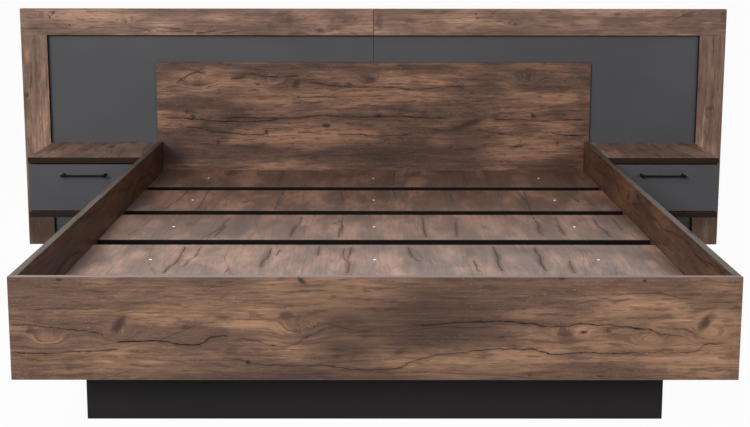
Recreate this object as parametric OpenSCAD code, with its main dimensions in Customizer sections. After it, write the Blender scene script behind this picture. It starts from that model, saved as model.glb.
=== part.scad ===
// Bed with a wide wall panel and two nightstands hung on that panel.
// Millimetres. +Z is up, +X is right and +Y runs from the foot to the wall.
// The origin is on the floor, below the middle of the whole set.

/* [Bed frame] */
// Width of the mattress, between the side rails
mattress_w = 1400; // [1300:10:1500]
// Length of the mattress, between footboard and headboard
mattress_l = 2000; // [1900:10:2100]
// Thickness of the boards of the bed and its plinth
board_t = 16; // [15:0.5:19]
// Height of the footboard and of the side rails
rail_h = 208; // [195:1:240]
// Height of the lower edge of the bed frame above the floor
floor_gap = 160; // [130:1:200]
// Height of the headboard, measured from the lower edge of the frame
headboard_h = 470; // [400:5:520]
// Chamfer along the long edges of the boards
arris = 0.8; // [0.3:0.1:1.5]

/* [Base] */
// Depth of the base boards' upper faces below the top of the side rails
base_drop = 96; // [85:1:105]
// Open gap between two base boards
base_gap = 62.5; // [40:0.5:90]
// Clearance between the ends of a base board and the side rails
base_end_gap = 1; // [0.5:0.5:5]
// Side of the square cleats under the ends of the base boards
cleat_s = 20; // [18:1:25]
// Distance of the cleats' ends from footboard and headboard
cleat_end = 60; // [50:1:90]
// Distance of the outer bearers from the middle of the bed
bearer_x = 531; // [450:1:560]

/* [Plinth] */
// Width of the plinth
plinth_w = 1236; // [1180:2:1280]
// Distance of the plinth from the outer faces of footboard and headboard
plinth_inset = 240; // [120:5:300]

/* [Wall panel] */
// Width of the whole panel, two equal halves
panel_w = 2312; // [2250:2:2400]
// Height of the panel without its feet
panel_h = 785; // [740:1:850]
// Height of the panel's feet
panel_foot_h = 20; // [10:1:30]
// Width of the wooden strips that frame the panel
strip_w = 86; // [70:1:100]
// Thickness of the wooden strips
strip_t = 18; // [17:0.5:20]
// Thickness of the plain panels behind the strips
backing_t = 16; // [15:0.5:19]

/* [Nightstands] */
// Height of the nightstands' lower faces above the floor
nightstand_z = 175; // [150:1:200]
// Height of a nightstand
nightstand_h = 188; // [180:1:215]
// Depth of a nightstand, from the panel to its front
nightstand_d = 360; // [350:1:400]
// Clearance beside a nightstand, to the bed and to the panel's stile
nightstand_gap = 2; // [1:0.5:4]
// Thickness of the nightstand boards and of the drawer front
case_t = 18; // [16:0.5:20]
// Gap above and below the drawer front
front_gap = 3.5; // [2:0.5:5]
// Gap behind the closed drawer front, to the case sides
front_rest = 1.5; // [1:0.5:3]

/* [Drawers] */
// Length of the drawer box behind its front
drawer_l = 300; // [290:1:310]
// Height of the drawer box
drawer_h = 110; // [90:1:120]
// Height of the drawer box above the floor of the case
drawer_lift = 13; // [10:1:20]
// Thickness of the drawer sides and the drawer back
drawer_t = 12; // [12:0.5:15]
// Thickness of the drawer bottom
bottom_t = 3; // [3:0.5:5]
// Height of the drawer bottom above the lower edge of the sides
bottom_lift = 10; // [8:1:14]
// Depth of the grooves that hold the drawer bottom
groove_d = 5; // [4:0.5:6]

/* [Runners] */
// Length of a runner
runner_l = 300; // [280:1:305]
// Height of a runner's outer channel
runner_h = 35; // [30:1:45]
// Total thickness of a runner, between case side and drawer side
runner_w = 12.7; // [12:0.1:13.5]
// Sheet thickness of the runners
runner_t = 1.2; // [1:0.1:1.5]
// Running gap between channel and slide
runner_play = 0.3; // [0.2:0.1:0.5]

/* [Handles] */
// Distance between the two posts of a handle
handle_cc = 128; // [96:1:160]
// Length of the handle bar past each post, from the post's axis
handle_over = 8.5; // [7:0.5:16]
// Distance of the bar's outer face from the drawer front
handle_out = 30; // [26:1:40]
// Side of the square bar and posts
handle_s = 7; // [6.5:0.5:10]
// Distance of the bar's axis below the top of the drawer front
handle_drop = 32; // [20:1:60]

/* [Fasteners] */
// Radius of every screw's shank
screw_r = 2; // [1.5:0.25:2.5]
// Radius of every screw's head
head_r = 4; // [3.5:0.25:5]
// Height of a screw's head
head_h = 2.5; // [2:0.25:3]
// Length of the screws in the metal plates
small_screw_l = 13; // [10:0.5:14]
// Length of the screws in the cleats and in the back of the panel
long_screw_l = 30; // [27:0.5:31]
// Length of the screws through the base boards
base_screw_l = 40; // [30:1:50]
// Length of the handle screws' shanks
handle_screw_l = 30; // [26:1:32]
// Radius of the dowels
dowel_r = 4; // [3:0.5:5]
// Length of the dowels
dowel_l = 30; // [25:1:35]
// Depth of a dowel in the face of a board
dowel_face = 11; // [9:0.5:12]
// Thickness of brackets and plates
plate_t = 2; // [1.5:0.25:3]
// Length of the brackets' legs
bracket_leg = 40; // [35:1:45]
// Height of the brackets
bracket_h = 60; // [50:1:65]
// Clearance around screws, dowels and boards in grooves
fit = 0.05; // [0.02:0.01:0.1]

/* [Hidden] */
$fn = 48;
WOOD = "#6e5546";
WOOD_PALE = "#8c7263";
GRAPHITE = "#4b4948";
STEEL = "#c8c8c6";
ZINC = "#b5b2a8";
BLACK = "#1c1b1b";
BEECH = "#c9a77c";
CARCASS = "#9a958f";

// Bed, measured from the outer face of the footboard
bed_w = mattress_w + 2 * board_t;
head_y = board_t + mattress_l;
base_top = floor_gap + rail_h - base_drop;
base_z = base_top - board_t;
bearer_h = base_z - floor_gap;
BASE_COUNT = 5;
base_board_w = (mattress_l - (BASE_COUNT - 1) * base_gap) / BASE_COUNT;
function base_y(i) = board_t + (i - 1) * (base_board_w + base_gap);
BEARERS = [-bearer_x, 0, bearer_x];

// Plinth
plinth_front_y = plinth_inset;
plinth_back_y = head_y + board_t - plinth_inset - board_t;
plinth_side_x = plinth_w / 2 - board_t / 2;

// Wall panel: the headboard stands against the plain backing panels
panel_y = head_y + board_t;
back_y = panel_y + backing_t;
panel_top = panel_foot_h + panel_h;
half_w = panel_w / 2;
plate_y = back_y + plate_t;
total_d = plate_y + head_h;

// Right nightstand; the left one is its mirror image
case_in = bed_w / 2 + nightstand_gap;
case_out = half_w - strip_w - nightstand_gap;
case_w = case_out - case_in;
case_mid = (case_in + case_out) / 2;
case_y = panel_y - nightstand_d;
case_side_y = case_y + case_t + front_rest;
case_floor = nightstand_z + case_t;
case_roof = nightstand_z + nightstand_h - case_t;
case_hollow_w = case_w - 2 * case_t;
front_z = case_floor + front_gap;
front_h = case_roof - case_floor - 2 * front_gap;

// Right drawer
drawer_y = case_y + case_t;
drawer_z = case_floor + drawer_lift;
drawer_w = case_hollow_w - 2 * runner_w;
drawer_x = case_mid - drawer_w / 2;
runner_z = drawer_z + drawer_h / 2;
runner_y = case_side_y + 0.5;
channel_w = runner_w - 3.2;
slide_h = runner_h - 2 * (runner_t + runner_play);
handle_z = front_z + front_h - handle_drop;

// Brackets: a corner point and a turn about +Z, legs along +X and +Y before the turn
bracket_z = floor_gap + bearer_h / 2;
bracket_hole = bracket_leg * 0.6;
bracket_rise = bracket_h / 4;
CORNERS = [
    [[-mattress_w / 2, board_t, bracket_z], 0],
    [[mattress_w / 2, board_t, bracket_z], 90],
    [[mattress_w / 2, head_y, bracket_z], 180],
    [[-mattress_w / 2, head_y, bracket_z], 270]
];
function bearer_face(x) = x < 0 ? x + board_t / 2 : x - board_t / 2;
BEARER_ENDS = [
    for (x = BEARERS) [[bearer_face(x), board_t, bracket_z], x < 0 ? 0 : 90],
    for (x = BEARERS) [[bearer_face(x), head_y, bracket_z], x < 0 ? 270 : 180]
];

// Plates on the back of the wall panel
join_w = 100;
join_h = 40;
join_hole = [join_w / 2 - 12, join_h / 2 - 10];
JOINS = [for (k = [0.13, 0.48, 0.83]) panel_foot_h + k * panel_h];
hanger_w = 40;
hanger_h = 80;
hanger_hole = hanger_h / 2 - 8;
hanger_z = panel_top - strip_w - hanger_h / 2 - 5;
HANGERS = [for (k = [-0.81, -0.27, 0.27, 0.81]) k * half_w];
keyhole_r = 5;
keyhole_slot_r = 2.5;
keyhole_rise = 8;
pocket_r = 8;
pocket_d = 8;

// Places of the fasteners: a point on the face and a turn from pointing up
function turned(v, a) = [v.x * cos(a) - v.y * sin(a), v.x * sin(a) + v.y * cos(a), v.z];
function bracket_screws(b) = [
    for (rise = [-bracket_rise, bracket_rise]) each [
        [b[0] + turned([bracket_hole, plate_t, rise], b[1]), [90, 0, b[1]]],
        [b[0] + turned([plate_t, bracket_hole, rise], b[1]), [90, 0, b[1] - 90]]
    ]
];
SMALL_SCREWS = [
    for (b = CORNERS) each bracket_screws(b),
    for (b = BEARER_ENDS) each bracket_screws(b),
    for (z = JOINS, x = [-1, 1], k = [-1, 1])
        [[x * join_hole.x, plate_y, z + k * join_hole.y], [90, 0, 0]],
    for (x = HANGERS, k = [-1, 1]) [[x, plate_y, hanger_z + k * hanger_hole], [90, 0, 0]]
];
BASE_SCREWS = [
    for (i = [1:BASE_COUNT], x = BEARERS) [[x, base_y(i) + base_board_w / 2, base_top], [180, 0, 0]]
];
CLEAT_SCREW_COUNT = 6;
cleat_l = mattress_l - 2 * cleat_end;
CLEAT_SCREWS = [
    for (s = [-1, 1], k = [0.5:CLEAT_SCREW_COUNT - 0.5])
        [[s * (mattress_w / 2 - cleat_s), board_t + cleat_end + k * cleat_l / CLEAT_SCREW_COUNT,
          base_z - cleat_s / 2], [0, s * 90, 0]]
];
strip_mid_x = half_w - strip_w / 2;
PANEL_SCREW_POINTS = [
    for (k = [0:3]) [60 + k * (strip_mid_x - 60) / 3, panel_top - strip_w / 2],
    for (k = [0.1, 0.45, 0.8]) [strip_mid_x, panel_foot_h + k * (panel_h - strip_w)],
    for (x = [-1, 1], z = [case_floor + 27, case_roof - 27]) [case_mid + x * case_hollow_w * 0.37, z],
    for (x = [0.25, 0.45], z = [0.2, 0.8]) [x * bed_w, floor_gap + z * headboard_h]
];
PANEL_SCREWS = [
    for (s = [-1, 1], p = PANEL_SCREW_POINTS) [[s * p.x, back_y, p.y], [90, 0, 0]]
];
DOWELS = [
    for (x = [-plinth_side_x, plinth_side_x], z = [0.25, 0.75]) each [
        [[x, plinth_front_y + board_t - dowel_face, z * floor_gap], [-90, 0, 0]],
        [[x, plinth_back_y - dowel_l + dowel_face, z * floor_gap], [-90, 0, 0]]
    ],
    for (x = BEARERS, y = [plinth_front_y, plinth_back_y])
        [[x, y + board_t / 2, floor_gap - dowel_l / 2], [0, 0, 0]],
    for (s = [-1, 1], x = [case_in + case_t / 2, case_out - case_t / 2],
         y = [case_side_y + 40, panel_y - 40]) each [
        [[s * x, y, case_roof - dowel_l + dowel_face], [0, 0, 0]],
        [[s * x, y, case_floor - dowel_face], [0, 0, 0]]
    ]
];

// ---- Helpers ----

// Moves what is measured from the footboard's outer face into the set's own frame
module in_frame() translate([0, -total_d / 2, 0]) children();

// Draws a right-hand piece for side 1, and its mirror image for side -1
module on_side(side) {
    if (side > 0) children();
    else mirror([1, 0, 0]) children();
}

// Puts a copy of the children at every place of a list
module at_places(places) for (p = places) translate(p[0]) rotate(p[1]) children();

// Section of a board with small chamfers at its four corners
module board_section(w, h) {
    polygon([[arris, 0], [w - arris, 0], [w, arris], [w, h - arris],
             [w - arris, h], [arris, h], [0, h - arris], [0, arris]]);
}

// Boards with their long edges along X, Y or Z: lowest corner, then size
module board_x(corner, size) {
    translate(corner) rotate([90, 0, 90]) linear_extrude(size.x) board_section(size.y, size.z);
}
module board_y(corner, size) {
    translate(corner + [0, size.y, 0]) rotate([90, 0, 0])
        linear_extrude(size.y) board_section(size.x, size.z);
}
module board_z(corner, size) {
    translate(corner) linear_extrude(size.z) board_section(size.x, size.y);
}

// Screw with a countersunk head, its head flush with the face at z = 0
module flush_screw(length, play = 0) {
    cylinder(h = head_h, r1 = head_r + play, r2 = screw_r + play);
    translate([0, 0, head_h / 2]) cylinder(h = length - head_h / 2 + play, r = screw_r + play);
}

// Screw with a raised head that bears on a plate at z = 0
module raised_screw(length) {
    translate([0, 0, -head_h]) cylinder(h = head_h, r1 = head_r * 0.7, r2 = head_r);
    cylinder(h = length, r = screw_r);
}

module screw_hole(length, play) translate([0, 0, -head_h]) cylinder(h = length + head_h, r = screw_r + play);

module small_screw_holes(play = fit) at_places(SMALL_SCREWS) screw_hole(small_screw_l + play, play);

module base_screw_holes() at_places(BASE_SCREWS) flush_screw(base_screw_l, fit);

module cleat_screw_holes() at_places(CLEAT_SCREWS) flush_screw(long_screw_l, fit);

module panel_screw_holes() at_places(PANEL_SCREWS) flush_screw(long_screw_l, fit);

module dowel(play = 0) translate([0, 0, -play]) cylinder(h = dowel_l + 2 * play, r = dowel_r + play);

module dowel_holes() at_places(DOWELS) dowel(fit);

// ---- Bed frame ----

module footboard() color(WOOD) in_frame() difference() {
    board_x([-bed_w / 2, 0, floor_gap], [bed_w, board_t, rail_h]);
    small_screw_holes();
}

module headboard() color(WOOD) in_frame() difference() {
    board_x([-bed_w / 2, head_y, floor_gap], [bed_w, board_t, headboard_h]);
    small_screw_holes();
    panel_screw_holes();
}

module side_rail(side) color(WOOD) in_frame() difference() {
    on_side(side) board_y([mattress_w / 2, board_t, floor_gap], [board_t, mattress_l, rail_h]);
    small_screw_holes();
    cleat_screw_holes();
}

module corner_brackets() color(ZINC) in_frame() brackets(CORNERS);

module brackets(places) difference() {
    for (b = places) translate(b[0]) rotate(b[1]) translate([0, 0, -bracket_h / 2])
        linear_extrude(bracket_h) union() {
            square([bracket_leg, plate_t]);
            square([plate_t, bracket_leg]);
        }
    small_screw_holes(4 * fit);
}

module small_screws() color(ZINC) in_frame() at_places(SMALL_SCREWS) raised_screw(small_screw_l);

// ---- Base ----

module base_board(i) color(WOOD_PALE) in_frame() difference() {
    board_x([-mattress_w / 2 + base_end_gap, base_y(i), base_z],
            [mattress_w - 2 * base_end_gap, base_board_w, board_t]);
    base_screw_holes();
}

module base_board_screws() color(STEEL) in_frame() at_places(BASE_SCREWS) flush_screw(base_screw_l);

module cleat(side) color(BEECH) in_frame() difference() {
    on_side(side) board_y([mattress_w / 2 - cleat_s, board_t + cleat_end, base_z - cleat_s],
                          [cleat_s, cleat_l, cleat_s]);
    cleat_screw_holes();
}

module cleat_screws() color(ZINC) in_frame() at_places(CLEAT_SCREWS) flush_screw(long_screw_l);

// A bearer stands on edge from footboard to headboard and rests on the plinth
module bearer(x) color(CARCASS) in_frame() difference() {
    board_y([x - board_t / 2, board_t, floor_gap], [board_t, mattress_l, bearer_h]);
    small_screw_holes();
    base_screw_holes();
    dowel_holes();
}

module bearer_brackets() color(ZINC) in_frame() brackets(BEARER_ENDS);

// ---- Plinth ----

module plinth_cross(y) color(GRAPHITE) in_frame() difference() {
    board_x([-plinth_w / 2, y, 0], [plinth_w, board_t, floor_gap]);
    dowel_holes();
}

module plinth_side(side) color(GRAPHITE) in_frame() difference() {
    on_side(side) board_y([plinth_w / 2 - board_t, plinth_front_y + board_t, 0],
                          [board_t, plinth_back_y - plinth_front_y - board_t, floor_gap]);
    dowel_holes();
}

module dowels() color(BEECH) in_frame() at_places(DOWELS) dowel();

// ---- Wall panel ----

module keyhole(round_r, slot_r, depth) {
    translate([0, 0, -keyhole_rise]) rotate([90, 0, 0]) cylinder(h = depth, r = round_r);
    translate([0, 0, keyhole_rise]) rotate([90, 0, 0]) cylinder(h = depth, r = slot_r);
    translate([-slot_r, -depth, -keyhole_rise]) cube([2 * slot_r, depth, 2 * keyhole_rise]);
}

module backing_panel(side) color(GRAPHITE) in_frame() difference() {
    on_side(side) board_x([0, panel_y, panel_foot_h], [half_w, backing_t, panel_h]);
    panel_screw_holes();
    small_screw_holes();
    for (x = HANGERS) translate([x, back_y + fit, hanger_z]) keyhole(pocket_r, pocket_r, pocket_d);
}

module top_rail(side) color(WOOD) in_frame() difference() {
    on_side(side) board_x([0, panel_y - strip_t, panel_top - strip_w], [half_w, strip_t, strip_w]);
    panel_screw_holes();
}

module stile(side) color(WOOD) in_frame() difference() {
    on_side(side) board_z([half_w - strip_w, panel_y - strip_t, panel_foot_h],
                          [strip_w, strip_t, panel_h - strip_w]);
    panel_screw_holes();
}

module panel_screws() color(ZINC) in_frame() at_places(PANEL_SCREWS) flush_screw(long_screw_l);

module joining_plates() color(ZINC) in_frame() difference() {
    for (z = JOINS) translate([-join_w / 2, back_y, z - join_h / 2]) cube([join_w, plate_t, join_h]);
    small_screw_holes(4 * fit);
}

module wall_hangers() color(ZINC) in_frame() difference() {
    for (x = HANGERS) translate([x - hanger_w / 2, back_y, hanger_z - hanger_h / 2])
        cube([hanger_w, plate_t, hanger_h]);
    for (x = HANGERS) translate([x, plate_y + fit, hanger_z])
        keyhole(keyhole_r, keyhole_slot_r, plate_t + 2 * fit);
    small_screw_holes(4 * fit);
}

module panel_feet() color(BLACK) in_frame() {
    for (s = [-1, 1], k = [0.04, 0.47, 0.9]) translate([s * k * half_w - 20, panel_y, 0])
        board_z([0, 0, 0], [40, backing_t, panel_foot_h]);
}

// ---- Nightstands ----

module nightstand_top(side) color(WOOD) in_frame() difference() {
    on_side(side) board_x([case_in, case_y, case_roof], [case_w, nightstand_d, case_t]);
    dowel_holes();
}

module nightstand_bottom(side) color(WOOD) in_frame() difference() {
    on_side(side) board_x([case_in, case_y, nightstand_z], [case_w, nightstand_d, case_t]);
    dowel_holes();
}

module nightstand_side(side, x) color(GRAPHITE) in_frame() difference() {
    on_side(side) board_z([x, case_side_y, case_floor],
                          [case_t, panel_y - case_side_y, case_roof - case_floor]);
    dowel_holes();
}

module nightstand_back(side) color(GRAPHITE) in_frame() difference() {
    on_side(side) board_z([case_in + case_t, panel_y - board_t, case_floor],
                          [case_hollow_w, board_t, case_roof - case_floor]);
    panel_screw_holes();
}

// ---- Runners ----

// U-shaped sheet section with its web at x = 0, centred on z = 0
module runner_section(width, height) difference() {
    translate([0, -height / 2]) square([width, height]);
    translate([runner_t, runner_t - height / 2]) square([width, height - 2 * runner_t]);
}

module runner_bar(width, height) {
    translate([0, runner_y + runner_l, runner_z]) rotate([90, 0, 0])
        linear_extrude(runner_l) runner_section(width, height);
}

module runner_channels(side) color(STEEL) in_frame() on_side(side) {
    translate([case_in + case_t, 0, 0]) runner_bar(channel_w, runner_h);
    translate([case_out - case_t, 0, 0]) mirror([1, 0, 0]) runner_bar(channel_w, runner_h);
}

module runner_slides(side) color(STEEL) in_frame() on_side(side) {
    translate([drawer_x, 0, 0]) mirror([1, 0, 0]) runner_bar(channel_w, slide_h);
    translate([drawer_x + drawer_w, 0, 0]) runner_bar(channel_w, slide_h);
}

// ---- Drawers ----

module drawer_bottom_board(play = 0) {
    translate([drawer_x + drawer_t - groove_d - play, drawer_y - groove_d - play,
               drawer_z + bottom_lift - play])
        cube([drawer_w - 2 * (drawer_t - groove_d) + 2 * play, drawer_l + groove_d + 2 * play,
              bottom_t + 2 * play]);
}

module handle_screw_places() {
    for (k = [-0.5, 0.5]) translate([case_mid + k * handle_cc, drawer_y, handle_z])
        rotate([90, 0, 0]) children();
}

module drawer_front(side) color(GRAPHITE) in_frame() on_side(side) difference() {
    board_x([case_in, case_y, front_z], [case_w, case_t, front_h]);
    drawer_bottom_board(fit);
    handle_screw_places() screw_hole(handle_screw_l, 4 * fit);
}

module drawer_sides(side) color(CARCASS) in_frame() on_side(side) difference() {
    for (x = [drawer_x, drawer_x + drawer_w - drawer_t])
        board_y([x, drawer_y, drawer_z], [drawer_t, drawer_l, drawer_h]);
    drawer_bottom_board(fit);
}

module drawer_back(side) color(CARCASS) in_frame() on_side(side) {
    board_x([drawer_x + drawer_t, drawer_y + drawer_l - drawer_t, drawer_z + bottom_lift + bottom_t],
            [drawer_w - 2 * drawer_t, drawer_t, drawer_h - bottom_lift - bottom_t]);
}

module drawer_bottom(side) color(CARCASS) in_frame() on_side(side) drawer_bottom_board();

// Outline of bar and posts seen from above: the bar's ends taper to a blunt point
module handle_outline() {
    end_x = handle_cc / 2 + handle_over;
    bar_in = handle_out - handle_s;
    tip = handle_s / 4;
    polygon([[-end_x, bar_in + tip], [-end_x + tip, bar_in], [end_x - tip, bar_in],
             [end_x, bar_in + tip], [end_x, handle_out - tip], [end_x - tip, handle_out],
             [-end_x + tip, handle_out], [-end_x, handle_out - tip]]);
    for (k = [-0.5, 0.5]) translate([k * handle_cc - handle_s / 2, 0])
        square([handle_s, handle_out - tip]);
}

module drawer_handle(side) color(BLACK) in_frame() on_side(side) difference() {
    translate([case_mid, case_y, handle_z - handle_s / 2])
        mirror([0, 1, 0]) linear_extrude(handle_s) handle_outline();
    handle_screw_places() screw_hole(handle_screw_l + fit, fit);
}

module handle_screws(side) color(ZINC) in_frame() on_side(side)
    handle_screw_places() raised_screw(handle_screw_l);

// ---- Nodes ----

footboard();
headboard();
side_rail(-1);  // left_side_rail
side_rail(1);  // right_side_rail
base_board(1);  // base_board_1
base_board(2);  // base_board_2
base_board(3);  // base_board_3
base_board(4);  // base_board_4
base_board(5);  // base_board_5
base_board_screws();
cleat(-1);  // left_cleat
cleat(1);  // right_cleat
cleat_screws();
bearer(-bearer_x);  // left_bearer
bearer(0);  // middle_bearer
bearer(bearer_x);  // right_bearer
corner_brackets();
bearer_brackets();
small_screws();
plinth_cross(plinth_front_y);  // plinth_front
plinth_cross(plinth_back_y);  // plinth_back
plinth_side(-1);  // plinth_left_side
plinth_side(1);  // plinth_right_side
dowels();
backing_panel(-1);  // left_backing_panel
backing_panel(1);  // right_backing_panel
top_rail(-1);  // left_top_rail
top_rail(1);  // right_top_rail
stile(-1);  // left_stile
stile(1);  // right_stile
panel_screws();
joining_plates();
wall_hangers();
panel_feet();
nightstand_top(-1);  // left_nightstand_top
nightstand_top(1);  // right_nightstand_top
nightstand_bottom(-1);  // left_nightstand_bottom
nightstand_bottom(1);  // right_nightstand_bottom
nightstand_side(-1, case_out - case_t);  // left_nightstand_outer_side
nightstand_side(1, case_out - case_t);  // right_nightstand_outer_side
nightstand_side(-1, case_in);  // left_nightstand_inner_side
nightstand_side(1, case_in);  // right_nightstand_inner_side
nightstand_back(-1);  // left_nightstand_back
nightstand_back(1);  // right_nightstand_back
runner_channels(-1);  // left_runner_channels
runner_channels(1);  // right_runner_channels
runner_slides(-1);  // left_runner_slides
runner_slides(1);  // right_runner_slides
drawer_front(-1);  // left_drawer_front
drawer_front(1);  // right_drawer_front
drawer_sides(-1);  // left_drawer_sides
drawer_sides(1);  // right_drawer_sides
drawer_back(-1);  // left_drawer_back
drawer_back(1);  // right_drawer_back
drawer_bottom(-1);  // left_drawer_bottom
drawer_bottom(1);  // right_drawer_bottom
drawer_handle(-1);  // left_drawer_handle
drawer_handle(1);  // right_drawer_handle
handle_screws(-1);  // left_handle_screws
handle_screws(1);  // right_handle_screws
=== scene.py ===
# %% [markdown]
# # A low double bed with two hanging nightstands
#
# The bed is made of flat boards covered with printed laminate: a brown one that
# looks like old, cracked timber, and a plain graphite one. Behind it stands a wide
# wall panel that also carries a nightstand at each side, each with one drawer.
#
# The boards come from a CAD model, already in their places and in metres. This file
# gives them their finishes, adds the small metal parts in more detail, and sets up
# the light and the camera.

# %% Load the CAD model
import math

import bmesh
import bpy
from mathutils import Euler, Matrix, Vector


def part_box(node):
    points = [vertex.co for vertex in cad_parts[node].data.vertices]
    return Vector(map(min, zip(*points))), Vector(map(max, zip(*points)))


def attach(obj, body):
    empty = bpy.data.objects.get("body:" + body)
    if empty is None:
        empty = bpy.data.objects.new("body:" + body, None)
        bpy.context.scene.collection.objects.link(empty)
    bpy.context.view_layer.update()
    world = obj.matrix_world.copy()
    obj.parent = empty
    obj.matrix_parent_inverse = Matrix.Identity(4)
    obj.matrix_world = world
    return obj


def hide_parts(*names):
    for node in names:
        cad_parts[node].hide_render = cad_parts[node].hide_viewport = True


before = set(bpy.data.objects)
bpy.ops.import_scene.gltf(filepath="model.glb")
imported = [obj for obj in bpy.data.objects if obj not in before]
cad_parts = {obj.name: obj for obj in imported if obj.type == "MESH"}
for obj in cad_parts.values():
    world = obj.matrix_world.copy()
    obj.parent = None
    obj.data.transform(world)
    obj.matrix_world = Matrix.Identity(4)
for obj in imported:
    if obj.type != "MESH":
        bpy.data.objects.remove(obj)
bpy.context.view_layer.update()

# %% [markdown]
# ## Which boards get which finish
#
# A finish follows the board, not the CAD file, so the pieces are listed by what the
# joiner would order them in: plain graphite, graphite painted near black as shade for
# the plinth under the footboard, pale grey where nobody looks, and beech. The boards
# with printed timber have a list of their own, further down, because each of them
# also has to say which way its grain runs.

# %% Lists of boards
# Left and right as seen from the foot of the bed, with their direction along x
HANDS = {"left": -1, "right": 1}
BASE_BOARDS = [f"base_board_{i}" for i in range(1, 6)]
GRAPHITE_BOARDS = [f"{hand}_{board}" for hand in HANDS for board in (
    "backing_panel", "drawer_front", "nightstand_outer_side", "nightstand_inner_side",
    "nightstand_back")]
PLINTH_BOARDS = ["plinth_front", "plinth_back", "plinth_left_side", "plinth_right_side"]
PLAIN_BOARDS = ["left_bearer", "middle_bearer", "right_bearer"] + [
    f"{hand}_drawer_{board}" for hand in HANDS for board in ("sides", "back", "bottom")]
BEECH_PIECES = ["left_cleat", "right_cleat", "dowels"]
print("graphite:", len(GRAPHITE_BOARDS), "plinth:", len(PLINTH_BOARDS),
      "pale grey:", len(PLAIN_BOARDS), "beech:", len(BEECH_PIECES))

# %% [markdown]
# ## Small helpers for materials
#
# A Blender material is a network of nodes. It can be drawn by hand in the shader
# editor, or written down as here, where each helper adds one node and links it.
# Writing it down keeps every number in sight, and one function can then make the
# same laminate for several boards.

# %% Helpers that add nodes
def paint(red, green, blue):
    """A colour as a paint chart gives it, 0 to 255, turned into Blender's linear values."""
    def linear(value):
        value /= 255
        return value / 12.92 if value <= 0.04045 else ((value + 0.055) / 1.055) ** 2.4
    return (linear(red), linear(green), linear(blue), 1.0)


def set_inputs(tree, node, values):
    """Links an input if it is given another node's output, or else sets its plain value."""
    for name, value in values.items():
        if isinstance(value, bpy.types.NodeSocket):
            tree.links.new(value, node.inputs[name])
        else:
            node.inputs[name].default_value = value


def add_node(tree, kind, inputs=None, **settings):
    node = tree.nodes.new(kind)
    for name, value in settings.items():
        setattr(node, name, value)
    set_inputs(tree, node, inputs or {})
    return node


def calculate(tree, operation, first, second=0.0, third=0.0, clamp=False):
    node = add_node(tree, "ShaderNodeMath", {0: first, 1: second, 2: third},
                    operation=operation, use_clamp=clamp)
    return node.outputs[0]


def fade(tree, value, start, end, low=0.0, high=1.0):
    """Goes softly from low to high as value goes from start to end."""
    node = add_node(tree, "ShaderNodeMapRange",
                    {"Value": value, "From Min": start, "From Max": end,
                     "To Min": low, "To Max": high},
                    interpolation_type="SMOOTHSTEP")
    return node.outputs["Result"]


def mix_colours(tree, amount, first, second, how="MIX"):
    node = add_node(tree, "ShaderNodeMix", {0: amount, 6: first, 7: second},
                    data_type="RGBA", blend_type=how)
    return node.outputs[2]


def bumps(tree, height, strength, depth):
    """Unevenness that only the light notices, with its depth in metres."""
    node = add_node(tree, "ShaderNodeBump",
                    {"Height": height, "Strength": strength, "Distance": depth})
    return node.outputs[0]


def place_on_bed(tree):
    """Where a point is, in metres from the middle of the floor below the bed."""
    return add_node(tree, "ShaderNodeTexCoord").outputs["Object"]


def split(tree, vector):
    """The "X", "Y" and "Z" of a place or a direction."""
    return add_node(tree, "ShaderNodeSeparateXYZ", {0: vector}).outputs


def new_material(name):
    material = bpy.data.materials.new(name)
    material.use_nodes = True
    return material, material.node_tree, material.node_tree.nodes["Principled BSDF"]


def dress(node_names, material):
    for name in node_names:
        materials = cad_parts[name].data.materials
        materials.clear()
        materials.append(material)
    print(material.name, "on", len(node_names), "pieces")


# %% [markdown]
# ## The printed timber laminate
#
# The print shows old planks: long fibres, soft clouds of darker and warmer brown,
# growth rings that swing round knots, and thin wavy cracks that run with the grain.
# A photograph of timber would repeat itself and need laying out on every board.
# Noise needs no layout, because it is read at the place of each point in the bed
# itself, so it also carries on round the edges of a board as real timber does.
#
# Everything in timber follows the grain, so a place is first split into two numbers:
# how far along the grain it is, and how far across. Noise that is read with a small
# scale along and a large one across gives fibres.

# %% Along and across the grain
def plank_axes(tree, grain, shift):
    """The place of a point along and across the grain, moved so that boards don't match."""
    moved = add_node(tree, "ShaderNodeVectorMath", {0: place_on_bed(tree), 1: shift},
                     operation="ADD").outputs[0]
    parts = split(tree, moved)
    others = [parts[axis] for axis in "XYZ" if axis != grain]
    return parts[grain], calculate(tree, "ADD", others[0], others[1])


def both(tree, first, second):
    return calculate(tree, "MULTIPLY", first, second)


def strongest(tree, values):
    """The highest of several masks, where they lie over each other."""
    result = values[0]
    for value in values[1:]:
        result = calculate(tree, "MAXIMUM", result, value)
    return result


def flat_place(tree, along, across, along_scale=1.0, across_scale=1.0, layer=0.0):
    """A place on the plank's face, stretched; each layer gives another pattern."""
    node = add_node(tree, "ShaderNodeCombineXYZ",
                    {"X": both(tree, along, along_scale),
                     "Y": both(tree, across, across_scale), "Z": layer})
    return node.outputs[0]


def noise(tree, place, detail=2.0, roughness=0.5):
    node = add_node(tree, "ShaderNodeTexNoise",
                    {"Vector": place, "Scale": 1.0, "Detail": detail, "Roughness": roughness})
    return node.outputs["Fac"]


# %% [markdown]
# ## Knots and cracks
#
# A knot is where a branch left the tree, and the rings of the trunk swing round it.
# If the distance across the grain is raised a little near the knot, every line that
# is drawn later from that distance bends by itself. A Voronoi texture scatters the
# middles of the knots, and its random colour decides which of them are really there.
#
# Cracks run along the grain and never cross. Each plank is cut into lanes that
# wander together, and each lane may hold one crack, which comes and goes along it.
# Beside a crack the wood is darker, so every crack has a soft halo as well.

# %% Knots and cracks
LANE_CRACK = 0.0016


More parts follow.
